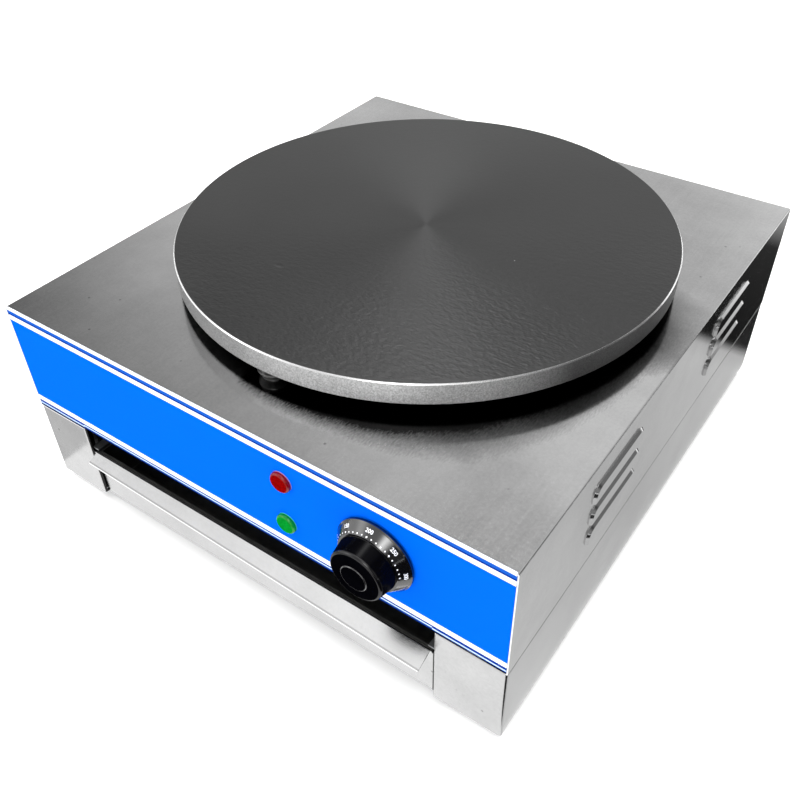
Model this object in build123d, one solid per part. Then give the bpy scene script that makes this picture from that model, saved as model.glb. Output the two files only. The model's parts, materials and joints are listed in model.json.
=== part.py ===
from build123d import *
import os
from math import asin, atan2, cos, degrees, hypot, radians, sin, tan

# Electric crepe maker with one round cast-iron griddle on a folded steel cabinet.
# Millimetres. +Z is up, -Y is the front, +X is to the right seen from the front.
# The origin is under the middle of the outline, on the surface that the feet stand on.

os.makedirs("parts", exist_ok=True)

# ---------------------------------------------------------------- driving dimensions

# cabinet
body_width = 450.0
body_depth = 480.0
base_height = 75.0
cover_height = 100.5
cover_sheet = 1.0
base_sheet = 1.2
bend_radius = 1.6            # at the middle of the sheet
seam_rounding = 0.8          # outer edges that meet at the seam between cover and base

# feet
foot_height = 10.0
foot_radius = 13.0
foot_taper = 2.0
foot_inset = 30.0            # foot centre to the outside of the cabinet
foot_screw_radius = 2.0
foot_recess_radius = 6.0
foot_floor = 4.0             # rubber under the screw head's seat

# base frame
leg_width = 55.0
leg_return = 8.0
base_foot_flange = 42.0      # bottom flange along each side, carries the feet
base_rear_flange = 45.0
base_top_flange = 14.0
deck_sheet = 1.2
deck_front_gap = 3.0

# cover
cover_bend_radius = 0.75     # at the middle of the sheet
cover_side_flange = 12.0
cover_rear_flange = 14.0
well_inset = 25.0            # opening in the top, inside the griddle's rim
well_collar_height = 4.0
well_collar_wall = 1.0

# louvres pressed out of the cover's sides
louvre_length = 77.0
louvre_height = 13.5
louvre_bulge = 1.9
louvre_corner = 9.0
louvre_pitch = 20.0
louvre_rows = 3
louvre_group_spacing = 213.8
louvre_setback = 3.9         # both groups' middle behind the cabinet's middle
louvre_lowest_lip = 26.3     # above the seam
louvre_slope = 45.0

# front panel
panel_sheet = 1.2
panel_return = 12.0
panel_gap = 0.3              # to the cover's sheets
panel_bend_radius = 2.6      # bottom bend, at the middle of the sheet
panel_top_set = 0.1          # upper edge below the cabinet's top
panel_brace = 12.0           # height of the tabs that hold the panel at its top corners
control_inset = 98.4         # thermostat axis to the cabinet's right side
lamp_inset = 76.0            # lamps to the left of the thermostat axis
lamp_spacing = 40.6

# rear panel
rear_sheet = 1.0
rear_gap = 0.4
rear_screw_inset = 8.0
rear_screw_radius = 1.9
gland_inset = 75.0           # to the cabinet's left side
gland_height = 28.0          # above the seam
bonding_inset = 130.0        # to the cabinet's left side

# griddle
griddle_radius = 200.0
griddle_rim = 17.3           # height of the turned rim
griddle_gap = 9.5            # rim to cabinet top
griddle_setback = 4.0        # griddle centre behind the cabinet's centre
griddle_rim_wall = 10.0
griddle_recess = 5.0
griddle_top_bevel = 0.9
griddle_low_bevel = 0.6
boss_radius = 11.0
boss_drop = 3.5              # below the rim
rib_count = 12
rib_width = 6.0
rib_depth = 3.5

# supports
post_inset = 12.0            # inside the griddle's rim
post_count = 3
post_first_angle = -90.0
post_top_radius = 11.5
post_foot_radius = 9.0
post_stud_radius = 4.0
post_stud_in_boss = 7.0
ring_gap = 0.5               # to the well's collar
ring_margin = 10.0           # outside the posts' circle
ring_sheet = 3.0
post_nut_flats = 13.0
post_nut_height = 6.5

# heater
element_radius = 4.0         # tube radius
outer_element_inset = 30.0   # outer ring to the pan's wall
element_spacing = 60.0       # between the two rings
element_seat = 3.5           # how deep the tubes sit in the griddle
element_leg_spacing = 30.0   # between the two ends of each ring
element_bend = 12.0
element_drop = 34.0          # terminals' lower end below the griddle
outer_element_angle = 90.0
inner_element_angle = 270.0
terminal_pin_radius = 2.0
terminal_pin_length = 9.0
insulation_thickness = 14.0
insulation_gap = 2.0
pan_gap = 5.0                # to the well's edge
pan_sheet = 1.0
pan_stud_inset = 58.0        # to the pan's wall
pan_stud_radius = 3.0
pan_stud_count = 3
pan_stud_first_angle = 30.0
pan_nut_flats = 10.0
pan_nut_height = 5.0
pan_stud_spare = 3.0
heater_hole_clearance = 1.5

# sensing bulb and capillary
bulb_radius = 3.0
bulb_length = 84.0
bulb_inset = 59.0            # to the pan's wall
bulb_clip_sheet = 0.8
bulb_clip_width = 10.0
bulb_clip_foot = 9.0
bulb_pocket_gap = 1.0
capillary_radius = 1.0
capillary_bend = 12.0
capillary_drop = 14.0        # run below the pan
capillary_slack = 25.0       # run behind the thermostat

# knob
knob_gap = 1.0
knob_height = 23.5
knob_skirt_radius = 29.4
knob_skirt_rim = 1.6
knob_skirt_edge = 0.9
knob_cone_radius = 23.5
knob_cone_height = 9.0
knob_grip_radius = 22.0
knob_face_radius = 19.8
knob_edge_rounding = 2.6
knob_dome = 1.6
knob_wall = 2.0
knob_hub_radius = 6.5
knob_hub_recess = 2.0
knob_cap_radius = 10.0
knob_cap_thickness = 1.6
knob_cap_bevel = 0.4
shaft_radius = 3.0
shaft_flat = 1.5             # depth of the D flat
shaft_in_knob = 14.0
shaft_fit = 0.05

# thermostat
thermostat_width = 42.0
thermostat_height = 36.0
thermostat_depth = 30.0
thermostat_plate = 1.5
thermostat_plate_width = 50.0
thermostat_bush_radius = 5.0
thermostat_bush_hole = 5.5
thermostat_screw_spacing = 28.0
thermostat_screw_radius = 2.0
tab_width = 6.3
tab_height = 8.0
tab_sheet = 0.8

# lamps
lens_radius = 8.3
lens_flange = 1.0
lens_height = 3.6
lens_rounding = 2.2
lens_shank_radius = 6.3
lens_shank_length = 6.0
lamp_hole_clearance = 0.2
lamp_body_radius = 5.8
lamp_body_length = 24.0
lamp_clip_radius = 9.6
lamp_clip_sheet = 1.2

# terminal block
block_length = 58.0
block_width = 24.0
block_height = 20.0
block_poles = 5
block_wall = 2.0
block_rear_gap = 40.0
block_inset = 95.0           # to the cabinet's left side
block_screw_radius = 2.0

# cable gland
gland_thread_radius = 10.0
gland_hex_flats = 24.0
gland_hex_height = 6.0
gland_dome_radius = 10.8
gland_dome_height = 11.0
gland_bore_radius = 5.0
gland_seal_wall = 3.0
gland_nut_height = 4.0
gland_inside = 9.0

# bonding stud
bonding_radius = 3.0
bonding_length = 15.0
bonding_inside = 10.0
bonding_tip_step = 0.5       # free end's radius below the thread's
bonding_tip_gap = 0.4        # thread left clear outside the nut
bonding_nut_flats = 10.0
bonding_nut_height = 5.0
bonding_washer_radius = 6.5
bonding_washer_sheet = 1.2

# drawer
drawer_side_gap = 1.0        # to each leg
drawer_front_set = 3.0       # front sheet behind the legs' faces
drawer_sheet = 1.0
drawer_front_sheet = 1.2
drawer_top = 50.6            # top of the front above the cabinet's underside
drawer_lip_reach = 16.0      # at its right end
drawer_lip_left_reach = 11.0
drawer_lip_slope = 23.0
drawer_lip_notch = 2.5
drawer_front_low = 0.8
drawer_wall_height = 45.0
drawer_floor_height = 5.0    # pan's underside above the cabinet's underside
drawer_rear_gap = 25.0
drawer_hem = 5.0

# runners
runner_sheet = 1.2
runner_top = 53.4            # above the cabinet's underside
runner_start = 2.6           # behind the legs' faces
runner_notch_gap = 0.3       # between a flange and its notch in the leg's return
runner_top_flange = 6.8
runner_low_flange = 14.0
runner_set = 1.2             # outside the leg's inner face
runner_running_gap = 0.3
runner_tab = 16.0

# screws between cover and base
cover_screw_radius = 2.0
cover_screw_rows = 3
screw_clearance = 0.15
screw_head_height = 2.0
screw_head_radius = 3.6

# ---------------------------------------------------------------- derived places

knob_reach = knob_gap + knob_height
gland_reach = gland_hex_height + gland_dome_height
lip_reach = drawer_lip_reach - drawer_front_set
front_reach = max(knob_reach, lip_reach)
front = -(front_reach + body_depth + gland_reach) / 2 + front_reach
rear = front + body_depth
half_width = body_width / 2
middle = (front + rear) / 2

base_bottom = foot_height
seam = base_bottom + base_height
cover_top = seam + cover_height
cover_under = cover_top - cover_sheet
panel_top = cover_top - panel_top_set
control_x = half_width - control_inset
control_z = seam + cover_height / 2
lamp_x = control_x - lamp_inset
gland_x = gland_inset - half_width
bonding_x = bonding_inset - half_width
block_x = block_inset - half_width
inner_leg = half_width - leg_width

well_radius = griddle_radius - well_inset
pan_radius = well_radius - pan_gap
pan_stud_circle = pan_radius - pan_stud_inset
bulb_offset = pan_radius - bulb_inset
outer_element_circle = pan_radius - outer_element_inset
inner_element_circle = outer_element_circle - element_spacing
post_circle = griddle_radius - post_inset
ring_inner_radius = well_radius + 2 * well_collar_wall + ring_gap
ring_outer_radius = post_circle + ring_margin

griddle_y = middle + griddle_setback
griddle_low = cover_top + griddle_gap
griddle_top = griddle_low + griddle_rim
griddle_under = griddle_low + griddle_recess
boss_low = griddle_low - boss_drop
element_z = griddle_under + element_seat - element_radius
insulation_top = element_z - element_radius
pan_floor = insulation_top - insulation_thickness
pan_low = pan_floor - pan_sheet

deck_top = seam - base_sheet
deck_low = deck_top - deck_sheet
panel_inner = front + panel_sheet
rear_inner = rear - rear_sheet

FACING_FRONT = Rot(90, 0, 0)     # turns +Z to -Y and keeps +Y up
FACING_REAR = Rot(-90, 0, 0)     # turns +Z to +Y

written = []


# ---------------------------------------------------------------- helpers

def save(name, shape):
    """Write one node to its own STEP file."""
    export_step(shape, os.path.join("parts", name + ".step"))
    written.append(name)


def block(x, y, z):
    """A plain box from its low and high corner values."""
    size = Box(x[1] - x[0], y[1] - y[0], z[1] - z[0])
    return Pos((x[0] + x[1]) / 2, (y[0] + y[1]) / 2, (z[0] + z[1]) / 2) * size


def upright(radius, x, y, z):
    """A round rod along Z between two heights."""
    return Pos(x, y, (z[0] + z[1]) / 2) * Cylinder(radius, z[1] - z[0])


def level(radius, x, y, z):
    """A round rod along Y between two depths."""
    return Pos(x, (y[0] + y[1]) / 2, z) * Rot(90, 0, 0) * Cylinder(radius, y[1] - y[0])


def turned(*points):
    """A turned piece about Z from its (radius, height) corners."""
    return revolve(Plane.XZ * make_face(Polyline(*points, close=True)), Axis.Z)


def folded(points, thickness, radius=bend_radius):
    """The section of a folded sheet whose middle line runs through the points."""
    return trace(FilletPolyline(*points, radius=radius), line_width=thickness)


def drawn_back(section, start, end):
    """An XZ section drawn along Y from start to end."""
    return Pos(0, start, 0) * extrude(Plane.XZ * section, amount=start - end)


def hex_nut(flats, height, hole):
    """A hexagon nut standing on the origin."""
    outline = RegularPolygon(flats / 2, 6, major_radius=False) - Circle(hole)
    return extrude(outline, amount=height)


def pan_screw(radius, length, head_radius=screw_head_radius, head_height=screw_head_height):
    """A pan-head screw: its head stands on the origin and the shank points down."""
    head = turned((0, 0), (head_radius, 0), (head_radius, head_height * 0.4),
                  (head_radius * 0.75, head_height), (0, head_height))
    return head + Pos(0, 0, -length / 2) * Cylinder(radius, length)


def around(circle, count, first_angle, x=0.0, y=0.0):
    """Points equally spaced on a circle."""
    angles = [radians(first_angle + 360.0 * i / count) for i in range(count)]
    return [(x + circle * cos(a), y + circle * sin(a)) for a in angles]


def both_sides(shape):
    """The shape and its mirror image across the YZ plane."""
    return [shape, mirror(shape, Plane.YZ)]


post_places = around(post_circle, post_count, post_first_angle, 0, griddle_y)
pan_stud_places = around(pan_stud_circle, pan_stud_count, pan_stud_first_angle, 0, griddle_y)


# ---------------------------------------------------------------- base frame

def foot_places():
    x = half_width - foot_inset
    return {
        "front_left": (-x, front + foot_inset),
        "front_right": (x, front + foot_inset),
        "rear_left": (-x, rear - foot_inset),
        "rear_right": (x, rear - foot_inset),
    }


def cover_screw_places():
    """Screws that hold the cover's side flanges down on the base."""
    x = half_width - cover_sheet - cover_side_flange / 2
    step = body_depth / cover_screw_rows
    rows = [front + step * (i + 0.5) for i in range(cover_screw_rows)]
    return [(side * x, y) for side in (-1, 1) for y in rows]


def make_base_frame():
    """Front legs, side skirts and rear skirt, folded from one strip, with its flanges."""
    half = base_sheet / 2
    leg_edge = inner_leg + half
    out = half_width - half
    strip = folded(
        [(-leg_edge, front + leg_return), (-leg_edge, front + half), (-out, front + half),
         (-out, rear - half), (out, rear - half), (out, front + half),
         (leg_edge, front + half), (leg_edge, front + leg_return)],
        base_sheet)
    skirt = Pos(0, 0, base_bottom) * extrude(strip, amount=base_height)

    inside = half_width - base_sheet
    plate = block((-inside, inside), (front + base_sheet, rear - base_sheet),
                  (base_bottom, base_bottom + base_sheet))
    opening = half_width - base_foot_flange
    plate -= block((-opening, opening), (front, rear - base_rear_flange),
                   (base_bottom, base_bottom + base_sheet))

    ledge = block((-inside, inside), (front + base_sheet, rear - base_sheet), (deck_top, seam))
    ledge_inside = inside - base_top_flange
    ledge -= block((-ledge_inside, ledge_inside), (front, rear - base_sheet - base_top_flange),
                   (deck_top, seam))
    frame = skirt + plate + ledge
    for z in runner_flange_heights():
        for side in (-1, 1):
            x = sorted((side * (inner_leg - 1), side * (inner_leg + runner_set)))
            frame -= block(x, (front + runner_start - runner_notch_gap, front + leg_return + 1),
                           (z - bend_radius - runner_notch_gap,
                            z + bend_radius + runner_notch_gap))

    at_seam = frame.edges().filter_by_position(Axis.Z, seam - 0.01, seam + 0.01)
    upper = [e for e in at_seam if is_outer_edge(e)]
    frame = fillet(upper, seam_rounding)
    for x, y in foot_places().values():
        frame -= upright(foot_screw_radius + screw_clearance, x, y,
                         (base_bottom - 1, base_bottom + base_sheet + 1))
    for x, y in cover_screw_places():
        frame -= upright(cover_screw_radius + screw_clearance, x, y, (deck_top - 1, seam + 1))
    return frame


def is_outer_edge(edge):
    """Whether an edge lies on the cabinet's outside walls, including their bent corners."""
    centre = edge.center()
    near = bend_radius
    return (abs(abs(centre.X) - half_width) < near or abs(centre.Y - front) < 0.1
            or abs(centre.Y - rear) < near)


def make_deck():
    """Partition under the base's top flanges, between the drawer bay and the wiring space."""
    inside = half_width - base_sheet
    deck = block((-inside, inside), (front + deck_front_gap, rear - base_sheet),
                 (deck_low, deck_top))
    deck = fillet(deck.edges().filter_by(Axis.Z), bend_radius)
    # notches for the legs' bent corners and inner returns
    leg_back = leg_return - deck_front_gap
    for side in (-1, 1):
        x = sorted((side * inner_leg, side * (inner_leg + base_sheet)))
        deck -= block((x[0] - screw_clearance, x[1] + screw_clearance),
                      (front, front + deck_front_gap + leg_back + screw_clearance),
                      (deck_low, deck_top))
    for x, y in cover_screw_places():
        deck -= upright(cover_screw_radius + screw_clearance, x, y, (deck_low - 1, deck_top + 1))
    for dx in (-1, 1):
        x = block_x + dx * (block_length / 2 - block_wall * 2)
        deck -= upright(block_screw_radius + screw_clearance, x, block_y(),
                        (deck_low - 1, deck_top + 1))
    return deck


def block_y():
    return rear - block_rear_gap


def make_foot(x, y):
    """Tapered rubber foot with a recess for its screw."""
    low = foot_radius - foot_taper
    profile = turned((foot_recess_radius, 0), (low, 0), (foot_radius, foot_height),
                     (foot_screw_radius + screw_clearance, foot_height),
                     (foot_screw_radius + screw_clearance, foot_floor),
                     (foot_recess_radius, foot_floor))
    return Pos(x, y, 0) * profile


def make_foot_screws():
    """Screws up through the feet into the bottom flanges."""
    length = base_bottom - foot_floor + base_sheet + 3.0
    screw = Rot(180, 0, 0) * pan_screw(foot_screw_radius, length)
    return Compound([Pos(x, y, foot_floor) * screw for x, y in foot_places().values()])


# ---------------------------------------------------------------- drawer and runners

def runner_flange_heights():
    """Middle heights of the runner's two flanges."""
    half = runner_sheet / 2
    return (base_bottom + drawer_floor_height - runner_running_gap - half,
            base_bottom + runner_top - half)


def make_runner():
    """Folded channel at the right side that carries and guides the drawer."""
    half = runner_sheet / 2
    web = inner_leg + runner_set + half
    low, top = runner_flange_heights()
    section = folded(
        [(web + half - runner_low_flange, low), (web, low), (web, top),
         (web + half - runner_top_flange - runner_sheet, top)],
        runner_sheet)
    runner = drawn_back(section, front + runner_start, rear - base_sheet)
    # the low flange starts behind the drawer's front sheet
    front_cut = drawer_front_set + drawer_front_sheet + runner_running_gap
    runner -= block((0, web - half - bend_radius), (front, front + front_cut),
                    (base_bottom, base_bottom + drawer_floor_height))
    tab = block((web - half, web + runner_tab), (rear - base_sheet - runner_sheet, rear - base_sheet),
                (low + bend_radius, top - bend_radius))
    return runner + tab


def drawer_half_width():
    return inner_leg - drawer_side_gap


def make_drawer_pan():
    """Open tray with hemmed sides, one folded and welded sheet."""
    half = drawer_sheet / 2
    out = drawer_half_width() - half
    floor = base_bottom + drawer_floor_height + half
    top = base_bottom + drawer_floor_height + drawer_wall_height - half
    start = front + drawer_front_set + drawer_front_sheet
    end = rear - drawer_rear_gap
    section = folded(
        [(-out + drawer_hem, top), (-out, top), (-out, floor), (out, floor), (out, top),
         (out - drawer_hem, top)],
        drawer_sheet)
    pan = drawn_back(section, start, end)
    for y in (start, end - drawer_sheet):
        pan += block((-out, out), (y, y + drawer_sheet), (floor, top + half))
    return pan


def make_drawer_front():
    """Front sheet whose top edge folds forward and down into the finger lip."""
    half = drawer_front_sheet / 2
    y = front + drawer_front_set + half
    low = base_bottom + drawer_front_low
    top = base_bottom + drawer_top - half
    lip_y = front + drawer_front_set - drawer_lip_reach
    left_lip_y = front + drawer_front_set - drawer_lip_left_reach
    width = drawer_half_width()
    drop = (y - lip_y) * tan(radians(drawer_lip_slope))
    wall = folded([(y, low), (y, top), (lip_y, top - drop)], drawer_front_sheet)
    sheet = extrude(Plane.YZ.offset(-width) * wall, amount=2 * width)
    # the lip is cut narrower towards its left end
    beyond = lip_y - drawer_lip_reach
    offcut = make_face(Polyline((-width, left_lip_y), (width, lip_y), (width, beyond),
                                (-width, beyond), close=True))
    sheet -= Pos(0, 0, base_bottom) * extrude(offcut, amount=drawer_top)
    ahead = front + drawer_front_set - bend_radius
    for x in (-width, width - drawer_lip_notch):
        sheet -= block((x, x + drawer_lip_notch), (lip_y - 5, ahead),
                       (base_bottom, base_bottom + drawer_top + 5))
    return sheet


# ---------------------------------------------------------------- cover

def louvre_outline(inset):
    """Rounded outline of a pressed louvre and its mirror image below the lip."""
    return RectangleRounded(louvre_length - 2 * inset, 2 * (louvre_height - inset),
                            louvre_corner - inset)


def louvre_shapes():
    """The hood that stands out of a side sheet, and the cut under it.

    Both are for a sheet whose outer face is the YZ plane and whose outside is +X. The lip
    is at z = 0 and the hood rises above it.
    """
    above = block((-louvre_height, louvre_height), (-louvre_length, louvre_length),
                  (0, 2 * louvre_height))
    inner_bulge = louvre_bulge - cover_sheet
    inset = cover_sheet * tan(radians(louvre_slope / 2))
    face = Plane.YZ * louvre_outline(0)
    hood = extrude(face, amount=louvre_bulge, taper=louvre_slope)
    hollow = extrude(Plane.YZ * louvre_outline(inset), amount=inner_bulge, taper=louvre_slope)
    hollow += extrude(Plane.YZ * louvre_outline(inset), amount=-2 * cover_sheet)
    return hood & above, hollow & above


def louvre_places():
    lips = [seam + louvre_lowest_lip + louvre_pitch * i for i in range(louvre_rows)]
    centre = middle + louvre_setback
    rows = [centre - louvre_group_spacing / 2, centre + louvre_group_spacing / 2]
    return [(y, z) for y in rows for z in lips]


def make_top_cover():
    """Folded top and sides with pressed louvres and a collared well under the griddle."""
    half = cover_sheet / 2
    out = half_width - half
    low = seam + half
    high = cover_top - half
    section = folded(
        [(-out + cover_side_flange, low), (-out, low), (-out, high), (out, high), (out, low),
         (out - cover_side_flange, low)],
        cover_sheet, cover_bend_radius)
    cover = drawn_back(section, front, rear)
    # between the side bends, the top sheet stops behind the front panel
    flat = panel_step_half_width() + panel_gap
    cover -= block((-flat, flat), (front - 1, front + panel_sheet + panel_gap),
                   (cover_under - 1, cover_top + 1))
    # the side flanges stop clear of the front panel's return and of the rear panel
    for y in ((front, front + panel_return + panel_gap), (rear_inner - rear_gap, rear)):
        low_inside = half_width - cover_sheet
        cover -= block((-low_inside, low_inside), y, (seam - 1, seam + cover_sheet + 1.2))

    # rear flanges that take the rear panel's screws
    inside = half_width - cover_sheet
    flange_y = (rear_inner - cover_sheet, rear_inner)
    for side in (-1, 1):
        x = sorted((side * inside, side * (inside - cover_rear_flange)))
        cover += block(x, flange_y, (seam, cover_under))
    cover += block((-inside, inside), flange_y, (cover_under - cover_rear_flange, cover_under))

    # well with a raised collar
    cover -= upright(well_radius, 0, griddle_y, (cover_under - 1, cover_top + 1))
    collar = turned((well_radius, cover_under), (well_radius + 2 * well_collar_wall, cover_under),
                    (well_radius + 2 * well_collar_wall, cover_top),
                    (well_radius + well_collar_wall, cover_top + well_collar_wall),
                    (well_radius + well_collar_wall, cover_top + well_collar_height),
                    (well_radius, cover_top + well_collar_height))
    cover += Pos(0, griddle_y, 0) * collar
    for x, y in post_places:
        cover -= upright(post_stud_radius + screw_clearance, x, y,
                         (cover_under - 1, cover_top + 1))
    for x, y in cover_screw_places():
        cover -= upright(cover_screw_radius + screw_clearance, x, y,
                         (seam - 1, seam + cover_sheet + 1))
    for x, z in rear_screw_places():
        cover -= level(rear_screw_radius + screw_clearance, x, (rear - 5, rear + 1), z)

    hood, hollow = louvre_shapes()
    for y, z in louvre_places():
        for shape_hood, shape_hollow in zip(
                both_sides(Pos(half_width, y, z) * hood),
                both_sides(Pos(half_width, y, z) * hollow)):
            cover = cover + shape_hood - shape_hollow
    return cover


def panel_step_half_width():
    """Half the width over which the panel stands up in front of the cover's top sheet."""
    return half_width - cover_sheet / 2 - cover_bend_radius - panel_gap


def make_front_panel():
    """Painted control panel with a bottom return, side returns and two fixing tabs."""
    width = half_width - cover_sheet - panel_gap
    half = panel_sheet / 2
    y = front + half
    section = folded([(front + panel_return, seam + half), (y, seam + half), (y, panel_top)],
                     panel_sheet, panel_bend_radius)
    panel = extrude(Plane.YZ.offset(-width) * section, amount=2 * width)
    low = seam + panel_bend_radius + panel_sheet
    high = cover_under - panel_gap
    for side in (-1, 1):
        x = sorted((side * width, side * (width - panel_sheet)))
        panel += block(x, (front + half, front + panel_return), (low, high))
        tab = sorted((side * width, side * (width - panel_return)))
        panel += block(tab, (front + panel_return - panel_sheet, front + panel_return),
                       (high - panel_brace, high))
    panel -= level(thermostat_bush_hole, control_x, (front - 1, front + 3), control_z)
    for dx in (-1, 1):
        panel -= level(thermostat_screw_radius + screw_clearance,
                       control_x + dx * thermostat_screw_spacing / 2,
                       (front - 1, front + 3), control_z)
    for z in lamp_heights().values():
        panel -= level(lens_shank_radius + lamp_hole_clearance, lamp_x, (front - 1, front + 3), z)
    step = panel_step_half_width()
    room = inside_cover(width, high, front, front + panel_return)
    room += block((-step, step), (front, front + panel_sheet), (control_z, panel_top))
    return panel & room


def inside_cover(width, top, start, end):
    """Room between the cover's side sheets, with the corners that its bends leave free."""
    corner = cover_bend_radius - cover_sheet / 2
    room = Pos(0, top - cover_height) * RectangleRounded(2 * width, 2 * cover_height, corner)
    low = Pos(0, seam) * Rectangle(2 * width, 2 * (top - seam))
    return drawn_back(room & low, start, end)


def lamp_heights():
    return {"red": control_z + lamp_spacing / 2, "green": control_z - lamp_spacing / 2}


def rear_screw_places():
    """Screws near the rear panel's corners and at the middle of its top edge."""
    x = half_width - cover_sheet - rear_screw_inset
    low = seam + 2 * rear_screw_inset
    high = cover_under - rear_screw_inset
    return [(-x, low), (x, low), (-x, high), (0, high), (x, high)]


def make_rear_panel():
    """Flat rear panel with a bottom return, the cable entry and the bonding stud's hole."""
    width = half_width - cover_sheet - rear_gap
    half = rear_sheet / 2
    section = folded(
        [(rear - panel_return, seam + half), (rear - half, seam + half),
         (rear - half, cover_under - rear_gap)],
        rear_sheet)
    panel = extrude(Plane.YZ.offset(-width) * section, amount=2 * width)
    # room for the cover's rear flanges above the return
    room = cover_rear_flange + rear_gap
    for side in (-1, 1):
        x = sorted((side * width, side * (half_width - cover_sheet - room)))
        panel -= block(x, (rear - panel_return - 1, rear_inner), (seam - 1, seam + 3 * rear_sheet))
    panel -= level(gland_thread_radius + screw_clearance, gland_x, (rear - 3, rear + 1),
                   seam + gland_height)
    panel -= level(bonding_radius + screw_clearance, bonding_x, (rear - 3, rear + 1),
                   seam + gland_height)
    for x, z in rear_screw_places():
        panel -= level(rear_screw_radius + screw_clearance, x, (rear - 3, rear + 1), z)
    return panel & inside_cover(width, cover_under - rear_gap, rear - panel_return, rear)


# ---------------------------------------------------------------- griddle and heater

def make_griddle():
    """Cast plate with a turned rim, seats for the heater tubes, ribs and support bosses."""
    top = griddle_top
    inner = griddle_radius - griddle_rim_wall
    profile = make_face(Polyline(
        (0, top), (griddle_radius - griddle_top_bevel, top),
        (griddle_radius, top - griddle_top_bevel),
        (griddle_radius, griddle_low + griddle_low_bevel),
        (griddle_radius - griddle_low_bevel, griddle_low), (inner, griddle_low),
        (inner - griddle_recess / 2, griddle_under), (0, griddle_under), close=True))
    for circle in (outer_element_circle, inner_element_circle):
        profile -= Pos(circle, element_z) * Circle(element_radius)
    plate = revolve(Plane.XZ * profile, Axis.Z)

    for x, y in around(1, rib_count, post_first_angle + 180.0 / rib_count):
        angle = Vector(x, y).get_signed_angle(Vector(1, 0))
        reach = (pan_radius + 2 * pan_sheet, inner)
        rib = block(reach, (-rib_width / 2, rib_width / 2), (griddle_under - rib_depth, top - 2))
        plate += Rot(0, 0, -angle) * rib
    for x, y in around(post_circle, post_count, post_first_angle):
        plate += upright(boss_radius, x, y, (boss_low, top - 2))
        plate -= upright(post_stud_radius + shaft_fit, x, y,
                         (boss_low - 1, boss_low + post_stud_in_boss + 0.5))
    for x, y in around(pan_stud_circle, pan_stud_count, pan_stud_first_angle):
        plate -= upright(pan_stud_radius + shaft_fit, x, y,
                         (griddle_under - 1, griddle_under + pan_stud_in_plate() + 0.5))
    for slot_shape in elbow_slots(element_z, element_z + element_radius + heater_hole_clearance):
        plate -= slot_shape
    return Pos(0, griddle_y, 0) * plate


def pan_stud_in_plate():
    return (griddle_top - griddle_under) / 2


def make_post():
    """Turned stainless spacer that flares up to the griddle's boss, with its stud."""
    nut_low = cover_under - ring_sheet - post_nut_height
    return turned((0, nut_low - 2), (post_stud_radius, nut_low - 2),
                  (post_stud_radius, cover_top), (post_foot_radius, cover_top),
                  (post_foot_radius, cover_top + 1.0), (post_top_radius, boss_low - 1.0),
                  (post_top_radius, boss_low), (post_stud_radius, boss_low),
                  (post_stud_radius, boss_low + post_stud_in_boss),
                  (0, boss_low + post_stud_in_boss))


def make_support_ring():
    """Stiffening ring welded under the cabinet's top, which carries the three supports."""
    low = cover_under - ring_sheet
    ring = turned((ring_inner_radius, low), (ring_outer_radius, low),
                  (ring_outer_radius, cover_under), (ring_inner_radius, cover_under))
    for x, y in around(post_circle, post_count, post_first_angle):
        ring -= upright(post_stud_radius + screw_clearance, x, y,
                        (cover_under - ring_sheet - 1, cover_under + 1))
    return Pos(0, griddle_y, 0) * ring


def half_gap(circle):
    """Half the open angle that leaves an element's legs their spacing."""
    lean = degrees(atan2(element_bend, circle))
    return lean + degrees(asin(element_leg_spacing / 2 / hypot(circle, element_bend)))


def element_ends(circle, angle):
    """For each end of an element: where its ring stops, and where its leg goes down."""
    ends = []
    for side in (-1, 1):
        a = radians(angle + side * half_gap(circle))
        stop = Vector(circle * cos(a), circle * sin(a))
        onward = Vector(side * sin(a), -side * cos(a))
        ends.append((stop, onward, stop + onward * element_bend))
    return ends


def all_element_ends():
    return (element_ends(outer_element_circle, outer_element_angle)
            + element_ends(inner_element_circle, inner_element_angle))


def make_element(circle, angle):
    """Tubular heater: an open ring whose two ends turn down to the terminals."""
    ring = revolve(Plane.XZ * Pos(circle, element_z) * Circle(element_radius), Axis.Z,
                   360.0 - 2 * half_gap(circle))
    shape = Rot(0, 0, angle + half_gap(circle)) * ring
    elbow = revolve(Plane.XZ * Pos(element_bend, 0) * Circle(element_radius), Axis.Z, 90)
    leg_low = griddle_under - element_drop
    leg_high = element_z - element_bend
    for stop, onward, foot in element_ends(circle, angle):
        place = Plane(origin=(stop.X, stop.Y, leg_high), x_dir=onward,
                      z_dir=onward.cross(Vector(0, 0, 1)))
        shape += place.location * elbow
        shape += upright(element_radius, foot.X, foot.Y, (leg_low, leg_high))
        shape += upright(terminal_pin_radius, foot.X, foot.Y,
                         (leg_low - terminal_pin_length, leg_low))
    return Pos(0, griddle_y, 0) * shape


def elbow_slots(low, high):
    """Slots, about the griddle's centre, that leave room for the tubes' bent ends."""
    slots = []
    width = 2 * (element_radius + heater_hole_clearance)
    for stop, _, foot in all_element_ends():
        outline = SlotCenterPoint((stop + foot) / 2, foot, width)
        slots.append(Pos(0, 0, low) * extrude(outline, amount=high - low))
    return slots


def heater_holes(low, high):
    """Clearance through the pan and insulation for terminals, studs and the capillary."""
    holes = []
    for _, _, foot in all_element_ends():
        holes.append(upright(element_radius + heater_hole_clearance, foot.X,
                             griddle_y + foot.Y, (low, high)))
    for x, y in pan_stud_places:
        holes.append(upright(pan_stud_radius + screw_clearance, x, y, (low, high)))
    x, y = capillary_place()
    holes.append(upright(capillary_radius + heater_hole_clearance, x, y, (low, high)))
    return holes


def capillary_place():
    """Where the capillary goes down, beyond the bulb's right end."""
    return bulb_length / 2 + capillary_bend, griddle_y + bulb_offset


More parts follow.
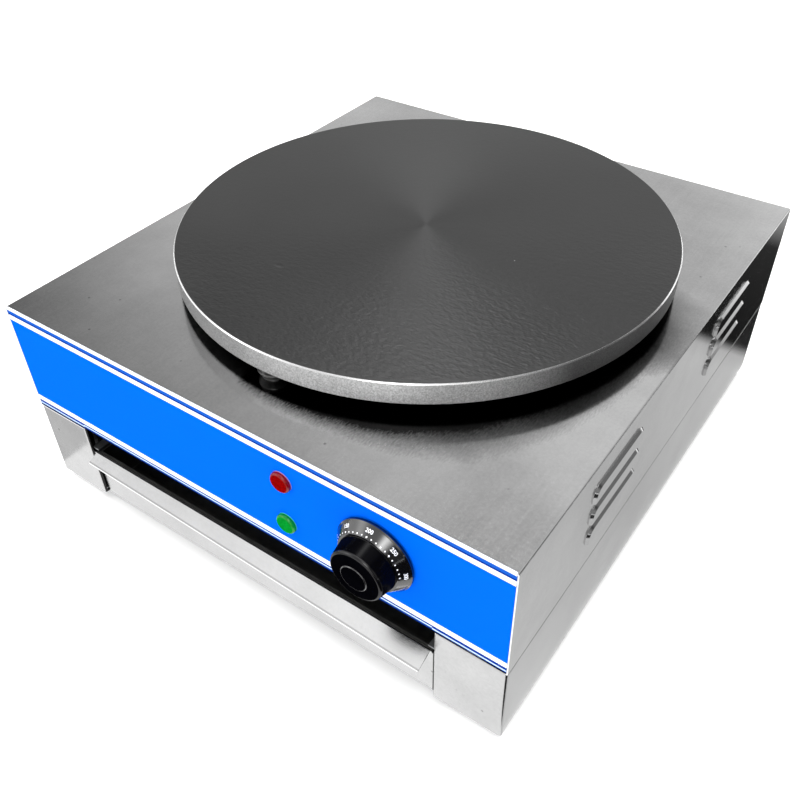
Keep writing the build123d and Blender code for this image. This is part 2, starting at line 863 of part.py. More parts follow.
def make_heater_pan():
    """Pressed dish that holds the insulation and the tubes up against the griddle."""
    half = pan_sheet / 2
    section = folded([(0, pan_low + half), (pan_radius - half, pan_low + half),
                      (pan_radius - half, griddle_under)], pan_sheet)
    dish = Pos(0, griddle_y, 0) * revolve(Plane.XZ * section, Axis.Z)
    for hole in heater_holes(pan_low - 1, pan_floor + 1):
        dish -= hole
    return dish


def make_insulation():
    """Ceramic-fibre disc between the pan's floor and the heater tubes."""
    disc = upright(pan_radius - pan_sheet - insulation_gap, 0, griddle_y, (pan_floor, insulation_top))
    for hole in heater_holes(pan_floor - 1, insulation_top + 1):
        disc -= hole
    for slot_shape in elbow_slots(pan_floor, insulation_top):
        disc -= Pos(0, griddle_y, 0) * slot_shape
    # pocket under the sensing bulb and its clip
    low = griddle_under - 2 * bulb_radius - bulb_clip_sheet - bulb_pocket_gap
    wide = bulb_radius + bulb_clip_foot + bulb_pocket_gap
    disc -= block((-bulb_length / 2 - bulb_pocket_gap, bulb_length / 2 + 2 * capillary_bend),
                  (griddle_y + bulb_offset - wide, griddle_y + bulb_offset + wide),
                  (low, insulation_top))
    return disc


def make_pan_studs():
    """Studs cast into the griddle that clamp the pan."""
    low = pan_low - pan_nut_height - pan_stud_spare
    high = griddle_under + pan_stud_in_plate()
    return Compound([upright(pan_stud_radius, x, y, (low, high)) for x, y in pan_stud_places])


def make_pan_nuts():
    nut = hex_nut(pan_nut_flats, pan_nut_height, pan_stud_radius + shaft_fit)
    return Compound([Pos(x, y, pan_low - pan_nut_height) * nut for x, y in pan_stud_places])


def make_post_nuts():
    nut = hex_nut(post_nut_flats, post_nut_height, post_stud_radius + shaft_fit)
    low = cover_under - ring_sheet - post_nut_height
    return Compound([Pos(x, y, low) * nut for x, y in post_places])


def make_bulb():
    """Thermostat bulb lying against the griddle's underside."""
    place = Pos(0, griddle_y + bulb_offset, griddle_under - bulb_radius)
    return place * Rot(0, 90, 0) * Cylinder(bulb_radius, bulb_length)


def make_capillary():
    """Thin tube from the bulb, down through the pan and forward to the thermostat."""
    x, y = capillary_place()
    high = griddle_under - bulb_radius
    low = pan_low - capillary_drop
    back = front + panel_sheet + thermostat_plate + thermostat_depth
    path = FilletPolyline(
        (bulb_length / 2, y, high), (x, y, high), (x, y, low), (control_x, y, low),
        (control_x, back + capillary_slack, low), (control_x, back + capillary_slack, control_z),
        (control_x, back, control_z), radius=capillary_radius * 3)
    start = Plane(origin=(bulb_length / 2, y, high), z_dir=(1, 0, 0))
    return sweep(start * Circle(capillary_radius), path=path)


def make_bulb_clip():
    """Bent strip that holds the bulb up, spot-welded to the griddle's underside."""
    reach = bulb_radius + bulb_clip_sheet
    axis = griddle_under - bulb_radius
    strip = Pos(0, axis) * Circle(reach) + Pos(0, axis + bulb_radius / 2) * Rectangle(
        2 * reach, bulb_radius)
    strip += Pos(0, griddle_under - bulb_clip_sheet / 2) * Rectangle(
        2 * (bulb_radius + bulb_clip_foot), bulb_clip_sheet)
    strip -= Pos(0, axis) * Circle(bulb_radius)
    strip -= Pos(0, axis + bulb_radius) * Rectangle(2 * bulb_radius, 2 * bulb_radius)
    below = Pos(0, griddle_under - 2 * reach) * Rectangle(8 * reach, 4 * reach)
    clip = extrude(Plane.YZ.offset(-bulb_clip_width / 2) * (strip & below),
                   amount=bulb_clip_width)
    return Pos(0, griddle_y + bulb_offset, 0) * clip


# ---------------------------------------------------------------- thermostat and knob

def make_thermostat():
    """Switch body with its mounting plate, bush and terminal tabs, facing the panel."""
    plate = block((-thermostat_plate_width / 2, thermostat_plate_width / 2),
                  (-thermostat_height / 2, thermostat_height / 2), (-thermostat_plate, 0))
    for dx in (-1, 1):
        plate -= upright(thermostat_screw_radius + screw_clearance,
                         dx * thermostat_screw_spacing / 2, 0, (-5, 5))
    back = -thermostat_plate - thermostat_depth
    case = block((-thermostat_width / 2, thermostat_width / 2),
                 (-thermostat_height / 2, thermostat_height / 2), (back, -thermostat_plate))
    case = fillet(case.edges().filter_by(Axis.Z), 2.0)
    for dx in (-1, 1):
        case -= upright(thermostat_screw_radius + screw_clearance,
                        dx * thermostat_screw_spacing / 2, 0, (-12, 0))
    bush = upright(thermostat_bush_radius, 0, 0, (-thermostat_plate, panel_sheet))
    body = plate + case + bush
    body -= upright(shaft_radius + shaft_fit, 0, 0, (-shaft_inside(), panel_sheet + 1))
    for dx in (-1, 1):
        for dy in (-1, 1):
            x = dx * thermostat_width / 4
            y = dy * thermostat_height / 4
            body += block((x - tab_width / 2, x + tab_width / 2),
                          (y - tab_sheet / 2, y + tab_sheet / 2), (back - tab_height, back))
    return Pos(control_x, panel_inner, control_z) * FACING_FRONT * body


def shaft_inside():
    """Depth of the shaft in the switch body behind the panel's rear face."""
    return thermostat_plate + 12.0


def make_shaft():
    """D-section shaft from the switch body into the knob."""
    end = panel_sheet + knob_gap + knob_hub_recess + shaft_in_knob
    start = -shaft_inside() + 0.5
    shaft = upright(shaft_radius, 0, 0, (start, end))
    flat_from = panel_sheet + knob_gap + knob_hub_recess
    shaft -= block((-shaft_radius, shaft_radius), (shaft_radius - shaft_flat, shaft_radius),
                   (flat_from, end))
    return Pos(control_x, panel_inner, control_z) * FACING_FRONT * shaft


def make_knob():
    """Moulded knob: a conical dial skirt, a hollow grip with a domed face, and a D-bore hub."""
    top = knob_height - knob_dome
    cone = knob_cone_height
    outer = turned(
        (0, 0), (knob_skirt_radius, 0), (knob_skirt_radius, knob_skirt_rim),
        (knob_skirt_radius - knob_skirt_edge, knob_skirt_rim + knob_skirt_edge),
        (knob_cone_radius, cone), (knob_grip_radius, cone), (knob_face_radius, top), (0, top))
    sphere_radius = (knob_face_radius ** 2 + knob_dome ** 2) / (2 * knob_dome)
    ball = Pos(0, 0, knob_height - sphere_radius) * Sphere(sphere_radius)
    crown = upright(knob_face_radius, 0, 0, (top - 1, knob_height)) & ball
    outer += crown
    edge = outer.edges().filter_by(GeomType.CIRCLE).filter_by_position(
        Axis.Z, top - 0.3, top + 0.3)
    rim = [e for e in edge if abs(e.radius - knob_face_radius) < 0.3]
    outer = fillet(rim, knob_edge_rounding)

    wall = knob_wall
    hollow = turned(
        (knob_hub_radius, 0), (knob_skirt_radius - wall, 0),
        (knob_skirt_radius - wall, knob_skirt_rim / 2), (knob_cone_radius - wall, cone - wall),
        (knob_face_radius - wall, top - wall), (knob_hub_radius, top - wall))
    knob = outer - hollow
    knob -= upright(knob_hub_radius + 1, 0, 0, (-1, knob_hub_recess))
    bore = upright(shaft_radius, 0, 0, (0, knob_hub_recess + shaft_in_knob))
    bore -= block((-shaft_radius, shaft_radius), (shaft_radius - shaft_flat, shaft_radius),
                  (0, knob_height))
    knob -= bore
    knob -= upright(knob_cap_radius, 0, 0, (knob_cap_floor(), knob_height + 1))
    return Pos(control_x, front - knob_gap, control_z) * FACING_FRONT * knob


def knob_cap_floor():
    return knob_height - knob_cap_thickness


def make_knob_cap():
    """Bare bevelled disc let into the knob's face."""
    low = knob_cap_floor()
    disc = turned((0, low), (knob_cap_radius, low),
                  (knob_cap_radius, knob_height - knob_cap_bevel),
                  (knob_cap_radius - knob_cap_bevel, knob_height), (0, knob_height))
    return Pos(control_x, front - knob_gap, control_z) * FACING_FRONT * disc


def make_thermostat_screws():
    """Screws from the panel's face into the switch body, under the knob's skirt."""
    screw = pan_screw(thermostat_screw_radius, panel_sheet + thermostat_plate + 6.0)
    return Compound([Pos(control_x + dx * thermostat_screw_spacing / 2, front, control_z)
                     * FACING_FRONT * screw for dx in (-1, 1)])


# ---------------------------------------------------------------- lamps

def make_lens(z):
    """Domed lens with a flange on the panel's face and a shank through its hole."""
    lens = upright(lens_radius, 0, 0, (0, lens_height))
    lens = fillet(lens.edges().group_by(Axis.Z)[-1], lens_rounding)
    lens += upright(lens_shank_radius, 0, 0, (-lens_shank_length, 0))
    return Pos(lamp_x, front, z) * FACING_FRONT * lens


def make_lamp_body(z):
    """Lamp holder behind the lens with its two tabs."""
    back = -lens_shank_length - lamp_body_length
    body = upright(lamp_body_radius, 0, 0, (back, -lens_shank_length))
    for dx in (-1, 1):
        x = dx * lamp_body_radius / 2
        body += block((x - tab_sheet / 2, x + tab_sheet / 2), (-tab_width / 4, tab_width / 4),
                      (back - tab_height, back))
    return Pos(lamp_x, front, z) * FACING_FRONT * body


def make_lamp_clips():
    """Spring clips on the lens shanks behind the panel."""
    ring = turned((lens_shank_radius, -panel_sheet - lamp_clip_sheet),
                  (lamp_clip_radius, -panel_sheet - lamp_clip_sheet),
                  (lamp_clip_radius, -panel_sheet), (lens_shank_radius, -panel_sheet))
    return Compound([Pos(lamp_x, front, z) * FACING_FRONT * ring for z in lamp_heights().values()])


# ---------------------------------------------------------------- electrical entry

def make_terminal_block():
    """Ceramic block with a wire cell for each pole and two fixing holes."""
    block_body = block((-block_length / 2, block_length / 2), (-block_width / 2, block_width / 2),
                       (0, block_height))
    ear = 4 * block_wall
    cell = (block_length - 2 * ear - (block_poles + 1) * block_wall) / block_poles
    for i in range(block_poles):
        x = -block_length / 2 + ear + block_wall + i * (cell + block_wall)
        block_body -= block((x, x + cell), (-block_width, block_width), (block_height / 2, block_height))
    for side in (-1, 1):
        x = side * (block_length / 2 - 2 * block_wall)
        low = sorted((side * block_length / 2, side * (block_length / 2 - ear)))
        block_body -= block(low, (-block_width, block_width), (block_height / 3, block_height))
        block_body -= upright(block_screw_radius + screw_clearance, x, 0, (-1, block_height))
    return Pos(block_x, block_y(), deck_top) * block_body


def make_block_screws():
    """Screws through the terminal block's ears into the deck."""
    screw = pan_screw(block_screw_radius, block_height / 3 + deck_sheet + 2.0)
    x = block_length / 2 - 2 * block_wall
    return Compound([Pos(block_x + dx * x, block_y(), deck_top + block_height / 3) * screw
                     for dx in (-1, 1)])


def gland_frame():
    return Pos(gland_x, rear, seam + gland_height) * FACING_REAR


def make_gland_body():
    """Cable gland: hexagon collar, domed cap and the thread through the panel."""
    hexagon = extrude(RegularPolygon(gland_hex_flats / 2, 6, major_radius=False),
                      amount=gland_hex_height)
    dome = upright(gland_dome_radius, 0, 0, (gland_hex_height, gland_reach))
    dome = fillet(dome.edges().group_by(Axis.Z)[-1], 3.0)
    thread = upright(gland_thread_radius, 0, 0, (-rear_sheet - gland_inside, 0))
    body = hexagon + dome + thread
    body -= upright(gland_bore_radius + gland_seal_wall, 0, 0,
                    (-rear_sheet - gland_inside - 1, gland_reach - 2.0))
    body -= upright(gland_bore_radius, 0, 0, (-rear_sheet - gland_inside - 1, gland_reach + 1))
    return gland_frame() * body


def make_gland_seal():
    """Rubber sleeve inside the gland."""
    ring = turned((gland_bore_radius, 0), (gland_bore_radius + gland_seal_wall, 0),
                  (gland_bore_radius + gland_seal_wall, gland_reach - 2.0),
                  (gland_bore_radius, gland_reach - 2.0))
    return gland_frame() * ring


def make_gland_nut():
    nut = hex_nut(gland_hex_flats, gland_nut_height, gland_thread_radius + shaft_fit)
    return gland_frame() * Pos(0, 0, -rear_sheet - gland_nut_height) * nut


def make_bonding_stud():
    """Stud for the bonding lead, through the rear panel."""
    thread_end = bonding_washer_sheet + bonding_nut_height + bonding_tip_gap
    stud = upright(bonding_radius, 0, 0, (-bonding_inside, thread_end))
    stud += upright(bonding_radius - bonding_tip_step, 0, 0, (thread_end, bonding_length))
    return Pos(bonding_x, rear, seam + gland_height) * FACING_REAR * stud


def make_bonding_nuts():
    """Nut inside the panel, and washer and nut outside it."""
    nut = hex_nut(bonding_nut_flats, bonding_nut_height, bonding_radius + shaft_fit)
    washer = extrude(Circle(bonding_washer_radius) - Circle(bonding_radius + shaft_fit),
                     amount=bonding_washer_sheet)
    place = Pos(bonding_x, rear, seam + gland_height) * FACING_REAR
    return Compound([place * Pos(0, 0, -rear_sheet - bonding_nut_height) * nut, place * washer,
                     place * Pos(0, 0, bonding_washer_sheet) * nut])


# ---------------------------------------------------------------- fasteners

def make_cover_screws():
    """Screws up through the deck and base flange into the cover's side flanges."""
    length = deck_sheet + base_sheet + cover_sheet + 3.0
    screw = Rot(180, 0, 0) * pan_screw(cover_screw_radius, length)
    return Compound([Pos(x, y, deck_low) * screw for x, y in cover_screw_places()])


def make_rear_screws():
    """Screws through the rear panel into the cover's rear flanges."""
    screw = FACING_REAR * pan_screw(rear_screw_radius, rear_sheet + cover_sheet + 3.0)
    return Compound([Pos(x, rear, z) * screw for x, z in rear_screw_places()])


# ---------------------------------------------------------------- write every node

save("base_frame", make_base_frame())
save("deck_plate", make_deck())
for place, (foot_x, foot_y) in foot_places().items():
    save("foot_" + place, make_foot(foot_x, foot_y))
save("foot_screws", make_foot_screws())

right_runner, left_runner = both_sides(make_runner())
save("drawer_runner_right", right_runner)
save("drawer_runner_left", left_runner)
save("drawer_pan", make_drawer_pan())
save("drawer_front", make_drawer_front())

save("top_cover", make_top_cover())
save("front_panel", make_front_panel())
save("rear_panel", make_rear_panel())
save("support_ring", make_support_ring())
for name, (post_x, post_y) in zip(("front", "rear_right", "rear_left"), post_places):
    save("support_post_" + name, Pos(post_x, post_y, 0) * make_post())
save("support_post_nuts", make_post_nuts())

save("griddle_plate", make_griddle())
save("heating_element_outer", make_element(outer_element_circle, outer_element_angle))
save("heating_element_inner", make_element(inner_element_circle, inner_element_angle))
save("insulation_disc", make_insulation())
save("heater_pan", make_heater_pan())
save("heater_pan_studs", make_pan_studs())
save("heater_pan_nuts", make_pan_nuts())
save("sensing_bulb", make_bulb())
save("bulb_clip", make_bulb_clip())
save("capillary_tube", make_capillary())

save("thermostat_body", make_thermostat())
save("thermostat_shaft", make_shaft())
save("thermostat_screws", make_thermostat_screws())
save("control_knob", make_knob())
save("knob_cap", make_knob_cap())

for colour, lamp_z in lamp_heights().items():
    save(colour + "_lamp_lens", make_lens(lamp_z))
    save(colour + "_lamp_body", make_lamp_body(lamp_z))
save("lamp_clips", make_lamp_clips())

save("terminal_block", make_terminal_block())
save("terminal_block_screws", make_block_screws())
save("cable_gland", make_gland_body())
save("cable_gland_seal", make_gland_seal())
save("cable_gland_nut", make_gland_nut())
save("bonding_stud", make_bonding_stud())
save("bonding_nuts", make_bonding_nuts())
save("cover_screws", make_cover_screws())
save("rear_panel_screws", make_rear_screws())

print(len(written), "nodes written")
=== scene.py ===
import json
from math import cos, pi, radians, sin, sqrt

import bpy
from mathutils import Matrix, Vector


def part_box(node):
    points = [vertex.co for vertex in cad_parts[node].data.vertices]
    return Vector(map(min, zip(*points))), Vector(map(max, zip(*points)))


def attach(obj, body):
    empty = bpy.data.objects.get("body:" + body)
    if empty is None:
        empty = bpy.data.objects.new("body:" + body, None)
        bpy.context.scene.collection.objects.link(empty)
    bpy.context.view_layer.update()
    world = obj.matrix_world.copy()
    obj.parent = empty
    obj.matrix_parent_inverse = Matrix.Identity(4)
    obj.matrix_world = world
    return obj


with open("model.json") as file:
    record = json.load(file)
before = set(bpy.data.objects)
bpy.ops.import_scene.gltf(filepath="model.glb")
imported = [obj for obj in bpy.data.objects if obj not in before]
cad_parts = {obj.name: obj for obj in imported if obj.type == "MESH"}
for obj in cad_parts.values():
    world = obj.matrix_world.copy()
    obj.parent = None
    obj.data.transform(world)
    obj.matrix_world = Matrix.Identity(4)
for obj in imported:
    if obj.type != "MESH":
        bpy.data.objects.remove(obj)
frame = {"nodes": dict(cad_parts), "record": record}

# Looks for the crepe maker. Every place is in metres in the CAD model's frame:
# +Z up, -Y the front, +X to the right. Tables that are in millimetres say so.

MM = 0.001
X, Y = 0, 1                   # the axes that sheets are brushed along


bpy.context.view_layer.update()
nodes = frame["nodes"]

# ---------------------------------------------------------------- places read from the frame

panel_low, panel_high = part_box("front_panel")
cover_low, cover_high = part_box("top_cover")
griddle_low, griddle_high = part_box("griddle_plate")
knob_low, knob_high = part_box("control_knob")
lip_low, lip_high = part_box("drawer_front")
SEAM = cover_low.z
PANEL_Y = panel_low.y
LEG_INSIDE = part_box("drawer_pan")[1].x
GRIDDLE_AXIS = ((griddle_low.x + griddle_high.x) / 2, (griddle_low.y + griddle_high.y) / 2)
GRIDDLE_RADIUS = (griddle_high.x - griddle_low.x) / 2
GRIDDLE_TOP = griddle_high.z
KNOB_X = (knob_low.x + knob_high.x) / 2
KNOB_Z = (knob_low.z + knob_high.z) / 2
KNOB_BACK = knob_high.y


# ---------------------------------------------------------------- node helpers

class Graph:
    """Short way to add and join shader nodes. A mask is a value from 0 to 1."""

    def __init__(self, tree):
        self.tree = tree

    def add(self, kind, values=None, **settings):
        made = self.tree.nodes.new("ShaderNode" + kind)
        for key, value in settings.items():
            setattr(made, key, value)
        for key, value in (values or {}).items():
            self.put(made, key, value)
        return made

    def put(self, made, key, value):
        """Links an output to one of a node's inputs, or sets that input to a value."""
        socket = made.inputs[key]
        if isinstance(value, bpy.types.NodeSocket):
            self.tree.links.new(value, socket)
        else:
            socket.default_value = value

    def parts(self, vector):
        """The three numbers of a vector or colour."""
        return self.add("SeparateXYZ", {0: vector}).outputs

    def math(self, operation, first, second=0.0):
        return self.add("Math", {0: first, 1: second}, operation=operation).outputs[0]

    def plus(self, first, second):
        return self.math("ADD", first, second)

    def minus(self, first, second):
        return self.math("SUBTRACT", first, second)

    def times(self, first, second):
        return self.math("MULTIPLY", first, second)

    def unsigned(self, value):
        """A value without its sign."""
        return self.math("ABSOLUTE", value)

    def above(self, value, limit):
        """A mask of where the value is over the limit."""
        return self.math("GREATER_THAN", value, limit)

    def below(self, value, limit):
        """A mask of where the value is under the limit."""
        return self.math("LESS_THAN", value, limit)

    def span(self, value, low, high, start, end):
        """Value from low..high mapped on to start..end."""
        made = self.add("MapRange", {"Value": value, "From Min": low, "From Max": high,
                                     "To Min": start, "To Max": end})
        return made.outputs[0]

    def fade(self, mask, start, end):
        """From start where a mask is 0 to end where it is 1."""
        return self.span(mask, 0.0, 1.0, start, end)

    def swing(self, noise, start, end):
        """A noise's usual range mapped on to start..end."""
        return self.span(noise, 0.3, 0.7, start, end)

    def noise(self, place, scale, stretch=(1, 1, 1), detail=2.0, roughness=0.5):
        mapped = self.add("Mapping", {"Vector": place, "Scale": stretch}).outputs[0]
        made = self.add("TexNoise", {"Vector": mapped, "Scale": scale, "Detail": detail,
                                     "Roughness": roughness})
        return made.outputs[0]

    def specks(self, place, scale, channel, core, edge, rarity):
        """A mask of small round specks with soft edges, one in each of a few chosen cells."""
        cells = self.add("TexVoronoi", {"Vector": place, "Scale": scale})
        chosen = self.parts(cells.outputs["Color"])[channel]
        return self.times(self.span(cells.outputs["Distance"], core, edge, 1.0, 0.0),
                          self.above(chosen, rarity))

    def from_axis(self, first, second, axis):
        """Offsets of a place from an axis along two directions, and its distance from it."""
        across = self.minus(first, axis[0])
        along = self.minus(second, axis[1])
        reach = self.math("SQRT", self.plus(self.times(across, across),
                                            self.times(along, along)))
        return across, along, reach

    def ramp(self, value, stops, interpolation="LINEAR"):
        made = self.add("ValToRGB", {"Fac": value})
        elements = made.color_ramp.elements
        made.color_ramp.interpolation = interpolation
        while len(elements) < len(stops):
            elements.new(0.5)
        for element, (position, colour) in zip(elements, stops):
            element.position = position
            element.color = (*colour, 1.0)
        return made.outputs[0]

    def ramp_round(self, across, along, stops):
        """A ramp by direction round an axis, with its stops' places in degrees."""
        low, high = stops[0][0], stops[-1][0]
        angle = self.math("ARCTAN2", along, across)
        turned = self.span(angle, radians(low), radians(high), 0.0, 1.0)
        return self.ramp(turned, [((at - low) / (high - low), colour) for at, colour in stops])

    def blend(self, factor, first, second, mode="MIX"):
        made = self.add("Mix", data_type="RGBA", blend_type=mode)
        for key, value in ((0, factor), (6, first), (7, second)):
            if isinstance(value, tuple) and len(value) == 3:
                value = (*value, 1.0)
            self.put(made, key, value)
        return made.outputs[2]

    def tint(self, first, second):
        """Two colours multiplied."""
        return self.blend(1.0, first, second, "MULTIPLY")

    def lobe(self, direction, azimuth, elevation, width, amount):
        """A round patch of light or shade in one direction, in degrees."""
        a, e = radians(azimuth), radians(elevation)
        aim = (sin(a) * cos(e), cos(a) * cos(e), sin(e))
        near = self.add("VectorMath", {0: direction, 1: aim}, operation="DOT_PRODUCT").outputs[1]
        peak = self.math("POWER", self.math("MAXIMUM", near, 0.0), 1.0 / radians(width) ** 2)
        return self.times(peak, amount)

    def bump(self, height, strength, distance, normal=None):
        values = {"Height": height, "Strength": strength, "Distance": distance}
        if normal is not None:
            values["Normal"] = normal
        return self.add("Bump", values).outputs[0]


def new_material(name):
    """A material with its graph, its main shader and its object coordinates."""
    made = bpy.data.materials.new(name)
    made.use_nodes = True
    graph = Graph(made.node_tree)
    shader = made.node_tree.nodes["Principled BSDF"]
    place = graph.add("TexCoord").outputs["Object"]
    return made, graph, shader, place


def grey(value):
    return (value, value, value)


# ---------------------------------------------------------------- steel sheets

FINE_STREAKS = (2600.0, 14.0)     # noise scales across the brushing and along it
BROAD_STREAKS = (300.0, 5.0)
STREAK_TONE = 0.025               # how far each pattern moves a sheet's tone, up and down
CLOUD_TONE = 0.05
FLECK_TONE = 0.02
EDGE_HIGHLIGHT_TONE = 0.95              # painted highlight: tone of a lit bare cut edge

# The painted shade that stands in for the griddle's shadow and dark reflection in the sheet, by
# direction round the griddle in degrees, with its inner and outer edge in millimetres past the
# griddle's rim. No edge is further from the rim than GRIDDLE_SHADE_RANGE.
GRIDDLE_SHADE_RANGE = 60
GRIDDLE_SHADE_EDGES = [
    (-100, -60, 0), (-94, 5, 12), (-84, 9, 20), (-70, 13, 27), (-60, 16, 38), (-50, 15, 46),
    (-36, 8, 37), (-26, 3, 28), (-13, -1, 20), (-4, 0, 45), (4, -8, 42), (12, -30, 35),
    (20, -60, 0),
]

LIP_SLANT = 2.5 * MM              # half the difference in the lip's reach between its two ends
LIP_HIGHLIGHT_DEPTH = 0.2 * MM               # how far the painted highlight on the lip's cut edge shows from its front
LIP_SHADE_LINE = (1.1 * MM, 1.5 * MM)   # and where the painted shade line behind it starts to fade, and ends
LIP_END_SHADE = 0.9 * MM                # width of the painted shadow at the drawer front's ends
SHADED_GAP_REACH = 1.9 * MM              # how far the painted shade in the gap beside the drawer goes out from it
SHADED_GAP_DEPTH = 5.0 * MM              # and back from the panel's face


def streaks(graph, place, along, scales, detail, roughness):
    """Noise that is drawn out along the axis of the brushing."""
    stretch = [scales[0]] * 3
    stretch[along] = scales[1]
    return graph.noise(place, 1.0, tuple(stretch), detail, roughness)


def soft_clouds(graph, place):
    return graph.noise(place, 16.0, detail=5.0, roughness=0.62)


def stain_share(edge):
    """An edge of the painted shade as a share of its range, as a ramp can hold it."""
    return (edge + GRIDDLE_SHADE_RANGE) / (2 * GRIDDLE_SHADE_RANGE)


def heat_stain(graph, place):
    """Painted shade: darkening of the sheet in front of the griddle and at its right, for its
    shadow and reflection, with a feathered edge.
    """
    x, y, z = graph.parts(place)
    across, along, reach = graph.from_axis(x, y, GRIDDLE_AXIS)
    feather = graph.noise(place, 1.0, (900.0, 260.0, 900.0), detail=3.0, roughness=0.7)
    past = graph.plus(graph.minus(reach, GRIDDLE_RADIUS), graph.swing(feather, -3 * MM, 3 * MM))
    past = graph.plus(past, graph.swing(soft_clouds(graph, place), -2 * MM, 2 * MM))
    # painted shade: its inner and outer edges by direction round the griddle
    edges = graph.parts(graph.ramp_round(across, along, [
        (at, (stain_share(inner), stain_share(outer), 0.0)) for at, inner, outer in GRIDDLE_SHADE_EDGES]))
    inner = graph.fade(edges[0], -GRIDDLE_SHADE_RANGE * MM, GRIDDLE_SHADE_RANGE * MM)
    outer = graph.fade(edges[1], -GRIDDLE_SHADE_RANGE * MM, GRIDDLE_SHADE_RANGE * MM)
    unshaded = graph.span(past, inner, outer, 0.0, 1.0)
    flat = graph.above(z, panel_high.z - 1.0 * MM)
    return graph.fade(graph.times(graph.minus(1.0, unshaded), flat), 1.0, 0.03)


def cover_marks(graph, place, level):
    """The top cover's painted light: the griddle's painted shade on the sheet, and a painted
    highlight on the cut edges at the front.
    """
    # painted shade of the griddle on the sheet
    level = graph.times(level, heat_stain(graph, place))
    facing = graph.parts(graph.add("NewGeometry").outputs["Normal"])[1]
    ahead = graph.below(graph.parts(place)[1], PANEL_Y + 0.2 * MM)
    # painted highlight on the front cut edges
    cut = graph.times(graph.below(facing, -0.9), ahead)
    return graph.fade(cut, level, EDGE_HIGHLIGHT_TONE)


def drawer_marks(graph, place, level):
    """The drawer front's painted light: a highlight on its lip's edge, a shade line behind it, and
    shadow at its ends.
    """
    x, y, _ = graph.parts(place)
    slant = graph.times(x, LIP_SLANT / lip_high.x)
    behind = graph.plus(graph.minus(y, lip_low.y + LIP_SLANT), slant)
    shaded_ends = graph.above(graph.unsigned(x), lip_high.x - LIP_END_SHADE)
    # painted shade: a darker line behind the lip's edge, and painted shadow at the front's ends
    level = graph.times(level, graph.span(behind, *LIP_SHADE_LINE, 0.66, 1.0))
    level = graph.times(level, graph.fade(shaded_ends, 1.0, 0.08))
    # painted highlight on the lip's cut edge
    return graph.fade(graph.below(behind, LIP_HIGHLIGHT_DEPTH), level, EDGE_HIGHLIGHT_TONE)


def base_marks(graph, place, level):
    """The base frame's painted shade: the gap beside the drawer is painted dark, as a shadow."""
    x, y, _ = graph.parts(place)
    beside = graph.below(graph.unsigned(x), lip_high.x + SHADED_GAP_REACH)
    near = graph.below(y, PANEL_Y + SHADED_GAP_DEPTH)
    # painted shadow in the gap beside the drawer
    return graph.times(level, graph.fade(graph.times(beside, near), 1.0, 0.06))


def brushed_steel(name, along, tone, rough, wave, painted_light):
    """Sheet steel with fine streaks along one axis, faint clouds, specks and small dents, and
    painted light and shade.
    """
    made, graph, shader, place = new_material(name)
    lines = streaks(graph, place, along, FINE_STREAKS, detail=3.0, roughness=0.6)
    bands = streaks(graph, place, along, BROAD_STREAKS, detail=2.0, roughness=0.5)
    clouds = soft_clouds(graph, place)
    flecks = graph.noise(place, 420.0, detail=3.0, roughness=0.7)
    mixed = graph.plus(graph.times(lines, 0.6), graph.times(bands, 0.4))
    level = graph.plus(graph.span(mixed, 0.2, 0.8, tone - STREAK_TONE, tone + STREAK_TONE),
                       graph.swing(clouds, -CLOUD_TONE, CLOUD_TONE))
    level = graph.plus(level, graph.swing(flecks, -FLECK_TONE, FLECK_TONE))
    # small specks of dirt and pits, far apart
    dirt = graph.specks(place, 95.0, channel=0, core=0.05, edge=0.12, rarity=0.88)
    level = graph.times(level, graph.fade(dirt, 1.0, 0.6))
    # the sheet's colour with its painted light and shade added
    graph.put(shader, "Base Color", painted_light(graph, place, level))
    graph.put(shader, "Metallic", 1.0)
    graph.put(shader, "Roughness", graph.plus(graph.swing(mixed, *rough),
                                              graph.swing(flecks, -0.02, 0.03)))
    swell = graph.bump(graph.noise(place, 13.0, detail=1.0), 1.0, wave)
    dents = graph.bump(clouds, 0.25, 0.0002, swell)
    graph.put(shader, "Normal", graph.bump(mixed, 0.05, 0.00006, dents))
    return made


# ---------------------------------------------------------------- griddle

RIM_WIDTH = 0.8 * MM          # the bare rim seen from above
BEVEL_HEIGHT = 0.9 * MM       # the turned edge between face and rim
RIM_PEAK = 1.35               # a ramp holds tones up to 1, so the rim's are divided by this
RIM_LIGHT_AND_SHADE = [          # direction round the griddle in degrees, and the rim's painted light and shade there
    (-180, 0.62), (-96, 0.60), (-84, 1.20), (-65, 1.30), (-45, 1.15), (-27, 0.20), (-5, 0.16),
    (30, 0.25), (90, 0.60), (180, 0.62),
]

DING = (-57.5 * MM, -105.4 * MM)      # a small knock in the griddle's face


def ding(graph, place, normal):
    """A shallow oval dent some millimetres across."""
    moved = graph.add("VectorMath", {0: place, 1: (*DING, GRIDDLE_TOP)},
                      operation="SUBTRACT").outputs[0]
    squeezed = graph.add("VectorMath", {0: moved, 1: (0.6, 1.3, 1.0)},
                         operation="MULTIPLY").outputs[0]
    off = graph.add("VectorMath", {0: squeezed}, operation="LENGTH").outputs["Value"]
    bowl = graph.span(off, 0.5 * MM, 3.2 * MM, -0.35 * MM, 0.0)
    return graph.bump(bowl, 1.0, 1.0, normal)


